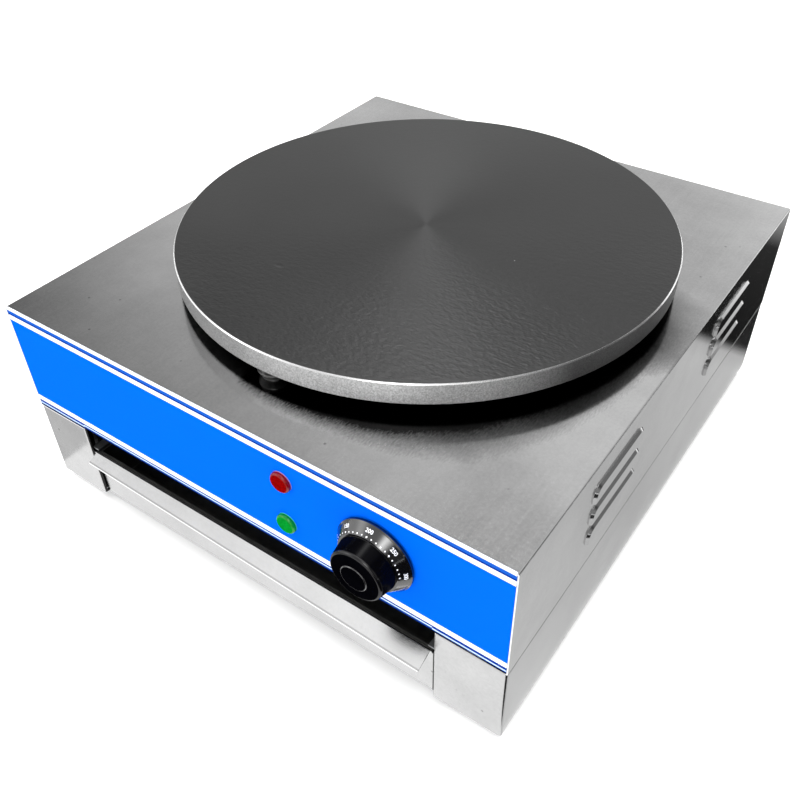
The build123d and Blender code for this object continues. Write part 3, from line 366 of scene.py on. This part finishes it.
def cast_iron(name):
    """Seasoned iron turned in rings, with an orange-peel skin and a bare turned rim."""
    made, graph, shader, place = new_material(name)
    pebble = graph.noise(place, 420.0, detail=2.0, roughness=0.55)
    patches = graph.noise(place, 5.0, detail=3.0, roughness=0.6)
    ripple = graph.noise(place, 210.0, (1.0, 1.6, 1.0), detail=1.0)
    x, y, z = graph.parts(place)
    across, along, reach = graph.from_axis(x, y, GRIDDLE_AXIS)
    rings = graph.add("TexNoise", {"W": graph.times(reach, 1500.0), "Scale": 1.0, "Detail": 3.0},
                      noise_dimensions="1D").outputs[0]
    level = graph.plus(graph.times(patches, 0.6), graph.times(pebble, 0.4))
    seasoned = graph.ramp(level, [(0.3, grey(0.003)), (0.7, grey(0.012))])
    # a few pale crumbs on the face
    crumbs = graph.specks(place, 38.0, channel=1, core=0.010, edge=0.022, rarity=0.93)
    seasoned = graph.blend(crumbs, seasoned, grey(0.5))
    edge = GRIDDLE_RADIUS - RIM_WIDTH
    rim = graph.span(reach, edge - 0.3 * MM, edge + 0.1 * MM, 0.0, 1.0)
    grain = graph.noise(place, 800.0, detail=3.0, roughness=0.75)
    bare = graph.ramp(grain, [(0.35, grey(0.29)), (0.65, grey(0.59))])
    # painted light and shade: the rim is painted brightest at its front, where light falls, and
    # dark at its right
    tone_shift = graph.ramp_round(across, along, [(at, grey(tone / RIM_PEAK)) for at, tone in RIM_LIGHT_AND_SHADE])
    bare = graph.tint(bare, graph.tint(tone_shift, grey(RIM_PEAK)))
    # the turned edge between face and rim is bright
    bevel = graph.times(graph.above(z, GRIDDLE_TOP - BEVEL_HEIGHT), rim)
    bare = graph.blend(bevel, bare, grey(0.85))
    graph.put(shader, "Base Color", graph.blend(rim, seasoned, bare))
    graph.put(shader, "Metallic", graph.math("MAXIMUM", bevel, graph.times(rim, 0.5)))
    rough = graph.plus(graph.swing(level, 0.38, 0.46), graph.swing(rings, -0.02, 0.02))
    graph.put(shader, "Roughness", graph.fade(bevel, rough, 0.22))
    # the skin is most uneven over the front half
    toward = graph.minus(graph.times(across, 0.6), graph.times(along, 0.8))
    front_half = graph.times(graph.span(toward, 0.0, 0.11, 0.10, 1.0), graph.fade(rim, 1.0, 0.0))
    skin = graph.bump(ripple, 1.0, 0.00002, graph.bump(pebble, 0.3, 0.00005))
    uneven = graph.times(graph.times(ripple, 0.0004), front_half)
    turned = graph.bump(rings, 0.12, 0.00002, graph.bump(uneven, 1.0, 1.0, skin))
    turned = graph.bump(graph.times(grain, rim), 0.5, 0.00008, turned)
    graph.put(shader, "Normal", ding(graph, place, turned))
    graph.put(shader, "Specular IOR Level", 0.58)
    graph.put(shader, "Anisotropic", 0.6)
    graph.put(shader, "Anisotropic Rotation", 0.25)
    graph.put(shader, "Tangent", graph.add("Tangent", direction_type="RADIAL", axis="Z").outputs[0])
    return made


# ---------------------------------------------------------------- panel, plastics and metals

STRIPES_TOP = 0.1005              # height above the seam that the stripes fill, in metres
STRIPES = [                       # heights above the seam in millimetres, and colours
    # the lowest stripe, shade, is painted shadow along the panel's lower edge
    (0.0, "shade"), (2.3, "deep"), (7.3, "white"), (12.3, "blue"), (88.6, "deep"),
    (89.1, "white"), (93.5, "deep"), (95.2, "mid"), (98.0, "white"),
]
STRIPE_COLOURS = {"white": (0.88, 0.93, 0.98), "blue": (0.0006, 0.128, 0.86),
                  "mid": (0.012, 0.10, 0.50), "deep": (0.003, 0.035, 0.26),
                  "shade": (0.002, 0.004, 0.015)}
BEND_HIGHLIGHT = 5.2 * MM              # painted highlight: the thin pale line at the lower bend, above the seam
BEND_HIGHLIGHT_DROP = 1.1 * MM         # how much lower it runs in front of the legs

SKIRT_HEIGHT = 9.2 * MM           # the knob's dial skirt and its flat face, above its back
FACE_HEIGHT = 20.2 * MM
FACE_EDGE = 18.4 * MM             # radius where the face's edge starts to round over
CAP_RING = (9.5 * MM, 10.15 * MM)     # radii of the cap's raised ring

CROWN_DEPTH = 2.2 * MM            # a lens's crown ends this far behind its front
FLANGE_DEPTH = 3.0 * MM           # and its base flange starts here
CROWN_EDGE = 1.3 * MM             # width of the crown's glossy edge


def panel_paint():
    """Satin blue panel with its white lines, as heights above the seam, a painted shadow at its
    lower edge and a painted highlight on its bend.
    """
    made, graph, shader, place = new_material("panel_blue")
    x, _, z = graph.parts(place)
    level = graph.span(z, SEAM, SEAM + STRIPES_TOP, 0.0, 1.0)
    paint = graph.ramp(level, [(height * MM / STRIPES_TOP, STRIPE_COLOURS[colour])
                               for height, colour in STRIPES], "CONSTANT")
    # painted highlight on the lower bend: a thin pale line, which runs lower in front of the legs
    outer = graph.above(graph.unsigned(x), LEG_INSIDE)
    bend_highlight = graph.plus(graph.times(outer, -BEND_HIGHLIGHT_DROP), SEAM + BEND_HIGHLIGHT)
    off = graph.unsigned(graph.minus(z, bend_highlight))
    paint = graph.blend(graph.span(off, 0.5 * MM, 0.8 * MM, 1.0, 0.0), paint, (0.60, 0.80, 0.98))
    drift = graph.noise(place, 3.0, detail=2.0)
    paint = graph.blend(graph.span(drift, 0.35, 0.65, 0.0, 0.25), paint,
                        graph.tint(paint, (0.95, 0.84, 0.98)))
    graph.put(shader, "Base Color", paint)
    graph.put(shader, "Roughness", graph.swing(drift, 0.24, 0.30))
    peel = graph.noise(place, 700.0, detail=1.0)
    graph.put(shader, "Normal", graph.bump(peel, 0.04, 0.00003))
    graph.put(shader, "Specular IOR Level", 0.0)
    graph.put(shader, "Coat Weight", 0.01)
    graph.put(shader, "Coat Roughness", 0.2)
    return made


def moulded(name, colour, rough, grain=900.0, bump=0.05):
    """Moulded plastic, ceramic or rubber with a fine skin."""
    made, graph, shader, place = new_material(name)
    skin = graph.noise(place, grain, detail=2.0)
    wear = graph.noise(place, 40.0, detail=3.0)
    lighter = tuple(min(1.0, c * 1.25 + 0.0004) for c in colour)
    tone_shift = graph.span(wear, 0.35, 0.65, 0.0, 1.0)
    graph.put(shader, "Base Color", graph.blend(tone_shift, colour, lighter))
    graph.put(shader, "Roughness", graph.swing(wear, *rough))
    graph.put(shader, "Normal", graph.bump(skin, bump, 0.00005))
    return made


def dial_black(name):
    """Black knob: polished dial skirt and edges, satin grip, dull face."""
    made, graph, shader, place = new_material(name)
    wear = graph.noise(place, 60.0, detail=3.0)
    graph.put(shader, "Base Color", graph.ramp(
        wear, [(0.3, (0.0005, 0.0005, 0.0009)), (0.7, (0.0014, 0.0014, 0.0022))]))
    x, y, z = graph.parts(place)
    height = graph.minus(KNOB_BACK, y)
    reach = graph.from_axis(x, z, (KNOB_X, KNOB_Z))[2]
    skirt = graph.below(height, SKIRT_HEIGHT)
    rounded = graph.times(graph.above(reach, FACE_EDGE), 0.4)
    ring = graph.times(graph.above(reach, CAP_RING[0]), graph.below(reach, CAP_RING[1]))
    edges = graph.times(graph.above(height, FACE_HEIGHT), graph.plus(rounded, ring))
    grip = graph.times(graph.below(height, FACE_HEIGHT), 0.03)
    polish = graph.math("MAXIMUM", skirt, graph.math("MAXIMUM", edges, grip))
    graph.put(shader, "Coat Weight", polish)
    graph.put(shader, "Coat Roughness", 0.13)
    graph.put(shader, "Coat IOR", 1.95)
    graph.put(shader, "Roughness", graph.swing(wear, 0.25, 0.35))
    graph.put(shader, "Normal", graph.bump(wear, 0.05, 0.0002))
    graph.put(shader, "Specular IOR Level", 0.0)
    return made


def lens_plastic(name, node, colour, deep, flange_highlight):
    """Coloured lens with a pebbled inside, a glossy edge to its crown and a base flange painted
    pale as a highlight.
    """
    made, graph, shader, place = new_material(name)
    low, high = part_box(node)
    cells = graph.add("TexVoronoi", {"Vector": place, "Scale": 700.0}).outputs["Distance"]
    inside = graph.ramp(cells, [(0.0, colour), (0.8, deep)])
    x, y, z = graph.parts(place)
    reach = graph.from_axis(x, z, ((low.x + high.x) / 2, (low.z + high.z) / 2))[2]
    depth = graph.minus(y, low.y)
    edge = graph.above(reach, (high.x - low.x) / 2 - CROWN_EDGE)
    gloss = graph.times(graph.below(depth, CROWN_DEPTH), graph.times(edge, 0.9))
    flange = graph.above(depth, FLANGE_DEPTH)
    # painted highlight: the base flange is painted pale
    graph.put(shader, "Base Color", graph.blend(flange, inside, flange_highlight))
    graph.put(shader, "Roughness", graph.fade(cells, 0.08, 0.16))
    graph.put(shader, "IOR", 1.02)
    graph.put(shader, "Coat Weight", gloss)
    graph.put(shader, "Coat Roughness", 0.05)
    graph.put(shader, "Normal", graph.bump(cells, 0.08, 0.0001))
    return made


def plain_metal(name, colour, rough, scale=60.0):
    """Plated or mill-finish metal with faint clouding."""
    made, graph, shader, place = new_material(name)
    cloud = graph.noise(place, scale, detail=4.0, roughness=0.6)
    darker = tuple(c * 0.75 for c in colour)
    graph.put(shader, "Base Color", graph.ramp(cloud, [(0.3, darker), (0.7, colour)]))
    graph.put(shader, "Metallic", 1.0)
    graph.put(shader, "Roughness", graph.swing(cloud, *rough))
    graph.put(shader, "Normal", graph.bump(cloud, 0.05, 0.0001))
    return made


# ---------------------------------------------------------------- which look each node gets

looks = {
    "cover_steel": brushed_steel("cover_steel", Y, 0.55, (0.09, 0.14), 0.0003, cover_marks),
    "base_steel": brushed_steel("base_steel", Y, 0.56, (0.16, 0.22), 0.0002, base_marks),
    "drawer_steel": brushed_steel("drawer_steel", X, 0.57, (0.16, 0.24), 0.0002, drawer_marks),
    # painted shade: the drawer pan is painted dark, as the slot above the lip is in shade
    "pan_shaded_sheet": plain_metal("pan_shaded_sheet", (0.19, 0.19, 0.185), (0.42, 0.55), scale=90.0),
    "panel_blue": panel_paint(),
    "griddle_top": cast_iron("griddle_iron"),
    "support": plain_metal("support_steel", (0.90, 0.90, 0.89), (0.3, 0.4), scale=700.0),
    "plain": plain_metal("plain_steel", (0.45, 0.46, 0.47), (0.35, 0.5)),
    "fastener": plain_metal("fastener_steel", (0.66, 0.66, 0.65), (0.25, 0.4), scale=400.0),
    "sheath": plain_metal("sheath_steel", (0.16, 0.15, 0.14), (0.4, 0.55)),
    "knob": dial_black("knob_black"),
    "red": lens_plastic("lens_red", "red_lamp_lens", (0.29, 0.0005, 0.0005),
                        (0.16, 0.0002, 0.0003), (0.62, 0.30, 0.40)),
    "green": lens_plastic("lens_green", "green_lamp_lens", (0.001, 0.30, 0.03),
                          (0.0006, 0.19, 0.015), (0.07, 0.58, 0.38)),
    "lamp_plastic": moulded("lamp_holder", (0.72, 0.71, 0.66), (0.45, 0.6)),
    "switch": moulded("switch_body", (0.25, 0.17, 0.10), (0.5, 0.65)),
    "ceramic": moulded("terminal_ceramic", (0.80, 0.78, 0.70), (0.6, 0.75)),
    "fibre": moulded("fibre_board", (0.82, 0.80, 0.74), (0.9, 1.0), grain=300.0, bump=0.5),
    "copper": plain_metal("capillary_copper", (0.72, 0.38, 0.22), (0.25, 0.4)),
    "rubber": moulded("foot_rubber", (0.018, 0.018, 0.018), (0.6, 0.75), bump=0.2),
    "gland": moulded("gland_nylon", (0.03, 0.03, 0.032), (0.35, 0.5)),
    "lead": moulded("lead_sleeve", (0.42, 0.05, 0.03), (0.4, 0.5)),
    "print": moulded("dial_white", (0.86, 0.86, 0.84), (0.4, 0.5), bump=0.0),
}

SLOT_LOOKS = {
    "cabinet_steel": "cover_steel", "drawer_steel": "drawer_steel", "panel_paint": "panel_blue",
    "griddle_iron": "griddle_top", "support_steel": "support", "plain_steel": "plain",
    "fastener_steel": "fastener", "sheath_steel": "sheath", "knob_plastic": "knob",
    "cap_plastic": "knob", "red_lens": "red", "green_lens": "green",
    "lamp_plastic": "lamp_plastic", "switch_plastic": "switch", "block_ceramic": "ceramic",
    "fibre_board": "fibre", "capillary_metal": "copper", "foot_rubber": "rubber",
    "gland_plastic": "gland", "lead_sleeve": "lead",
}
NODE_LOOKS = {"base_frame": "base_steel", "drawer_pan": "pan_shaded_sheet"}

for part in frame["record"]["subparts"]:
    shown = nodes[part["node"]]
    look = looks[NODE_LOOKS.get(part["node"], SLOT_LOOKS[part["material_slot"]])]
    for slot in shown.material_slots:
        slot.material = look


# ---------------------------------------------------------------- dial print

# The print's sizes are in millimetres.
DIAL_CONE = ((28.5, 2.5), (23.5, 9.0))    # radius and height above the knob's back, both ends
PRINT_UP = 0.04                           # how far the print stands off the cone, along the
PRINT_OUT = 0.03                          # knob's axis and outwards
DOT_RING = 24.3                           # radii of the ring of dots and the ring of numbers
NUMBER_RING = 26.7
NUMBER_SIZE = 3.7
NUMBER_WEIGHT = 0.09                      # how much the numbers' outlines are thickened
BIG_DOT, SMALL_DOT = 0.62, 0.5            # radii of a dot at a number, and of one between
DIAL_FIRST, DIAL_LAST, DIAL_STEP = 50, 300, 10    # the scale that has dots
NUMBER_STEP = 50                          # and how often it has a number
DIAL_REST = 200                           # the setting that points up at rest
DEGREES_PER_UNIT = 0.854


def dial_point(across, up, angle, radius):
    """A point of the dial's print on the cone, a hair above its surface."""
    (r0, h0), (r1, h1) = DIAL_CONE
    slant = sqrt((r0 - r1) ** 2 + (h0 - h1) ** 2)
    r = radius + up * (r0 - r1) / slant
    turn = radians(angle) + across / r
    h = h0 + (h1 - h0) * (r0 - r) / (r0 - r1) + PRINT_UP
    r += PRINT_OUT
    return Vector((KNOB_X + r * MM * sin(turn), KNOB_BACK - h * MM, KNOB_Z + r * MM * cos(turn)))


def dial_number(text, angle, radius, size):
    """Mesh vertices and faces of one number, laid on the cone."""
    curve = bpy.data.curves.new("number", "FONT")
    curve.body = text
    curve.size = size
    curve.align_x = "CENTER"
    curve.align_y = "CENTER"
    curve.resolution_u = 3
    curve.offset = NUMBER_WEIGHT
    holder = bpy.data.objects.new("number", curve)
    bpy.context.scene.collection.objects.link(holder)
    bpy.context.view_layer.update()
    mesh = bpy.data.meshes.new_from_object(
        holder.evaluated_get(bpy.context.evaluated_depsgraph_get()))
    points = [dial_point(v.co.x, v.co.y, angle, radius) for v in mesh.vertices]
    faces = [list(p.vertices) for p in mesh.polygons]
    bpy.data.objects.remove(holder)
    bpy.data.curves.remove(curve)
    bpy.data.meshes.remove(mesh)
    return points, faces


def dial_dot(angle, radius, size, sides=16):
    """Mesh vertices and face of one round dot, laid on the cone."""
    turns = [2 * pi * i / sides for i in range(sides)]
    points = [dial_point(size * cos(turn), size * sin(turn), angle, radius) for turn in turns]
    return points, [list(range(sides))]


def mesh_piece(name, parts, look, body):
    """One piece from several lists of points and faces."""
    points, faces = [], []
    for more_points, more_faces in parts:
        start = len(points)
        points += more_points
        faces += [[start + i for i in face] for face in more_faces]
    mesh = bpy.data.meshes.new(name)
    mesh.from_pydata([tuple(p) for p in points], [], faces)
    mesh.update()
    made = bpy.data.objects.new(name, mesh)
    bpy.context.scene.collection.objects.link(made)
    made.data.materials.append(looks[look])
    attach(made, body)


dial = []
for value in range(DIAL_FIRST, DIAL_LAST + 1, DIAL_STEP):
    turn = (value - DIAL_REST) * DEGREES_PER_UNIT
    numbered = value % NUMBER_STEP == 0
    dial.append(dial_dot(turn, DOT_RING, BIG_DOT if numbered else SMALL_DOT))
    if numbered:
        dial.append(dial_number(str(value), turn, NUMBER_RING, NUMBER_SIZE))
dial.append(dial_number("0", -DIAL_REST * DEGREES_PER_UNIT, NUMBER_RING, NUMBER_SIZE))
mesh_piece("dial_print", dial, "print", "knob")


# ---------------------------------------------------------------- floor and studio cards

FLOOR_SIZE = 12.0
CARD_LIFT = 0.0006                # the cards lie this far above the floor
CARD_STRENGTH = 2.0               # a ramp holds tones up to 1, so the cards' are divided by this
CARDS_FRONT, CARDS_BACK = -2.6, 2.6       # how far the cards reach, to the front and back
CARDS_SIDE = 2.4                  # and to each side
SIDE_BACK = 1.2                   # back of the cards at the right
SIDE_SPLIT = 0.52                 # where the near card at the right meets the far one
FRONT_LEFT = -0.242               # both sides of the card in front
FRONT_RIGHT = 0.237
FRONT_SPAN = (CARDS_FRONT, PANEL_Y - 0.002)
SIDE_SPAN = (PANEL_Y - 0.001, SIDE_BACK)

CARDS = [              # name, span in X, span in Y, and its tones as (place along Y, tone)
    ("front", (FRONT_LEFT, FRONT_RIGHT), FRONT_SPAN, [(-2.6, 1.22), (-0.3, 1.22)]),
    ("front_left", (-CARDS_SIDE, FRONT_LEFT), FRONT_SPAN, [(-2.6, 0.80), (-0.3, 0.72)]),
    ("front_right", (FRONT_RIGHT, CARDS_SIDE), FRONT_SPAN, [(-2.6, 0.03), (-0.3, 0.02)]),
    ("side_far", (SIDE_SPLIT, CARDS_SIDE), SIDE_SPAN, [(-0.2, 0.40), (1.2, 0.40)]),
    ("side", (cover_high.x + 0.001, SIDE_SPLIT), SIDE_SPAN,
     [(-0.20, 0.78), (0.0, 0.61), (0.24, 0.66), (0.268, 0.58), (0.286, 0.01), (0.50, 0.03),
      (0.58, 0.40)]),
    ("left", (-CARDS_SIDE, cover_low.x - 0.001), (PANEL_Y - 0.001, cover_high.y),
     [(-0.20, 0.72), (0.2, 0.66)]),
    ("rear", (-CARDS_SIDE, cover_high.x), (cover_high.y + 0.003, CARDS_BACK),
     [(0.3, 0.66), (2.6, 0.72)]),
]


def stage_plane(name, size, place):
    """A flat rectangle that isn't part of the object."""
    mesh = bpy.data.meshes.new(name)
    x, y = size[0] / 2, size[1] / 2
    mesh.from_pydata([(-x, -y, 0), (x, -y, 0), (x, y, 0), (-x, y, 0)], [], [(0, 1, 2, 3)])
    made = bpy.data.objects.new(name, mesh)
    made.location = place
    bpy.context.scene.collection.objects.link(made)
    return made


def floor_paper():
    """Pale matt paper, with a little light of its own so that shadows stay faint."""
    made, graph, shader, place = new_material("floor_paper")
    tooth = graph.noise(place, 180.0, detail=2.0)
    graph.put(shader, "Base Color", graph.ramp(tooth, [(0.3, grey(0.92)), (0.7, grey(0.94))]))
    graph.put(shader, "Roughness", 0.9)
    graph.put(shader, "Specular IOR Level", 0.0)
    graph.put(shader, "Emission Color", (1.0, 1.0, 1.0, 1.0))
    graph.put(shader, "Emission Strength", 0.25)
    return made


def studio_card(name, x, y, tones):
    """A card that lies on the floor and is seen only in the object's gloss.

    Its tones are given as (place along Y, tone), softly joined.
    """
    low, high = y
    centre = ((x[0] + x[1]) / 2, (low + high) / 2, CARD_LIFT)
    card = stage_plane(name, (x[1] - x[0], high - low), centre)
    look, graph, shader, place = new_material(name + "_card")
    local = graph.parts(place)[1]
    down = graph.span(local, (low - high) / 2, (high - low) / 2, 0.0, 1.0)
    stops = [((at - low) / (high - low), grey(tone / CARD_STRENGTH)) for at, tone in tones]
    drift = graph.noise(place, 5.0, detail=2.0)
    graph.put(shader, "Base Color", (0.0, 0.0, 0.0, 1.0))
    graph.put(shader, "Specular IOR Level", 0.0)
    graph.put(shader, "Emission Color", graph.ramp(down, stops))
    graph.put(shader, "Emission Strength", graph.swing(drift, CARD_STRENGTH - 0.1,
                                                       CARD_STRENGTH + 0.1))
    card.data.materials.append(look)
    card.visible_camera = False
    card.visible_diffuse = False
    card.visible_shadow = False


floor = stage_plane("floor", (FLOOR_SIZE, FLOOR_SIZE), (0, 0, 0))
floor.data.materials.append(floor_paper())
for name, x, y, tones in CARDS:
    studio_card(name, x, y, tones)


# ---------------------------------------------------------------- world, light and camera

# soft patches of light and shade: azimuth, elevation and width in degrees, and amount
PATCHES = [(-76, 44, 14, -0.58), (-8, 24, 4, 0.50), (-18, 42, 5, 0.33), (-68, 28, 6, -0.30),
           (-47, 42, 4, -0.04), (28, 8, 7, 0.9), (-25, 51, 5.5, -0.26), (-14, 32, 4, -0.12),
           (-36, 46, 3, 0.15), (-53, 29, 3, 0.10), (-33, 70, 5.5, 20.0), (-90, 3, 9, 0.3),
           (-130, 26, 10, 1.6)]
# patches of light that lie in the darker parts of the studio, and are added after them
LATER_PATCHES = [(159, 38, 6.5, 7.0), (47, 13, 12, 0.18), (106, 22, 14, 0.45)]

OVERHEAD_HEIGHT = 3.0
OVERHEAD_SIZE = (3.0, 3.0)
OVERHEAD_POWER = 66               # watts

CAMERA_PLACE = (0.34847, -0.51440, 0.57468)
CAMERA_TURN = (0.850632, 0.014819, 0.613498)      # radians
CAMERA_LENS, CAMERA_SENSOR = 39.844, 36.0         # millimetres


def studio_tone(graph, direction):
    """The studio's brightness by direction, as it is seen in the object's gloss."""
    x, y, z = graph.parts(direction)
    # bright in front and overhead, dimmer behind, with a few soft patches
    tone = graph.span(y, -0.3, 0.35, 1.35, 0.72)
    tone = graph.plus(tone, graph.span(z, 0.82, 0.96, 0.0, 0.5))
    for patch in PATCHES:
        tone = graph.plus(tone, graph.lobe(direction, *patch))
    # dark at the right, except overhead
    right = graph.times(graph.span(x, 0.50, 0.62, 0.0, 1.0), graph.span(z, 0.7, 0.9, 1.0, 0.0))
    tone = graph.times(tone, graph.fade(right, 1.0, 0.05))
    # dimmer in front from a low height up, but not at the far left
    ahead = graph.times(graph.span(y, -0.55, -0.35, 1.0, 0.0), graph.span(z, 0.15, 0.35, 0.0, 1.0))
    ahead = graph.times(ahead, graph.span(x, -0.7, -0.5, 0.0, 1.0))
    tone = graph.times(tone, graph.fade(ahead, 1.0, 0.6))
    for patch in LATER_PATCHES:
        tone = graph.plus(tone, graph.lobe(direction, *patch))
    cloud = graph.noise(direction, 5.0, detail=3.0)
    return graph.times(tone, graph.swing(cloud, 0.90, 1.10))


def studio_world():
    """A studio that lights the object, and that the camera sees as plain white."""
    world = bpy.data.worlds.new("studio")
    world.use_nodes = True
    graph = Graph(world.node_tree)
    background = world.node_tree.nodes["Background"]
    output = world.node_tree.nodes["World Output"]
    direction = graph.add("TexCoord").outputs["Generated"]
    graph.put(background, "Color", studio_tone(graph, direction))
    graph.put(background, "Strength", 1.0)
    backdrop = graph.add("Background", {"Color": (1, 1, 1, 1), "Strength": 1.0})
    seen = graph.add("LightPath").outputs["Is Camera Ray"]
    chosen = graph.add("MixShader", {0: seen, 1: background.outputs[0], 2: backdrop.outputs[0]})
    graph.put(output, 0, chosen.outputs[0])
    return world


def softbox(name, place, aim, size, power):
    """A rectangular area light that faces a point, and isn't seen in gloss."""
    data = bpy.data.lights.new(name, "AREA")
    data.shape = "RECTANGLE"
    data.size, data.size_y = size
    data.energy = power
    made = bpy.data.objects.new(name, data)
    made.location = place
    made.rotation_euler = (Vector(aim) - Vector(place)).to_track_quat("-Z", "Y").to_euler()
    made.visible_glossy = False
    bpy.context.scene.collection.objects.link(made)


def photo_camera():
    """The camera at the photograph's viewing angle."""
    data = bpy.data.cameras.new("camera")
    data.lens = CAMERA_LENS
    data.sensor_width = CAMERA_SENSOR
    data.clip_start = 0.01
    made = bpy.data.objects.new("camera", data)
    made.location = CAMERA_PLACE
    made.rotation_euler = CAMERA_TURN
    bpy.context.scene.collection.objects.link(made)
    return made


bpy.context.scene.world = studio_world()
softbox("overhead", (0.0, 0.0, OVERHEAD_HEIGHT), (0, 0, 0), OVERHEAD_SIZE, OVERHEAD_POWER)
bpy.context.scene.camera = photo_camera()
bpy.context.scene.view_settings.view_transform = "Standard"
bpy.context.scene.view_settings.look = "None"
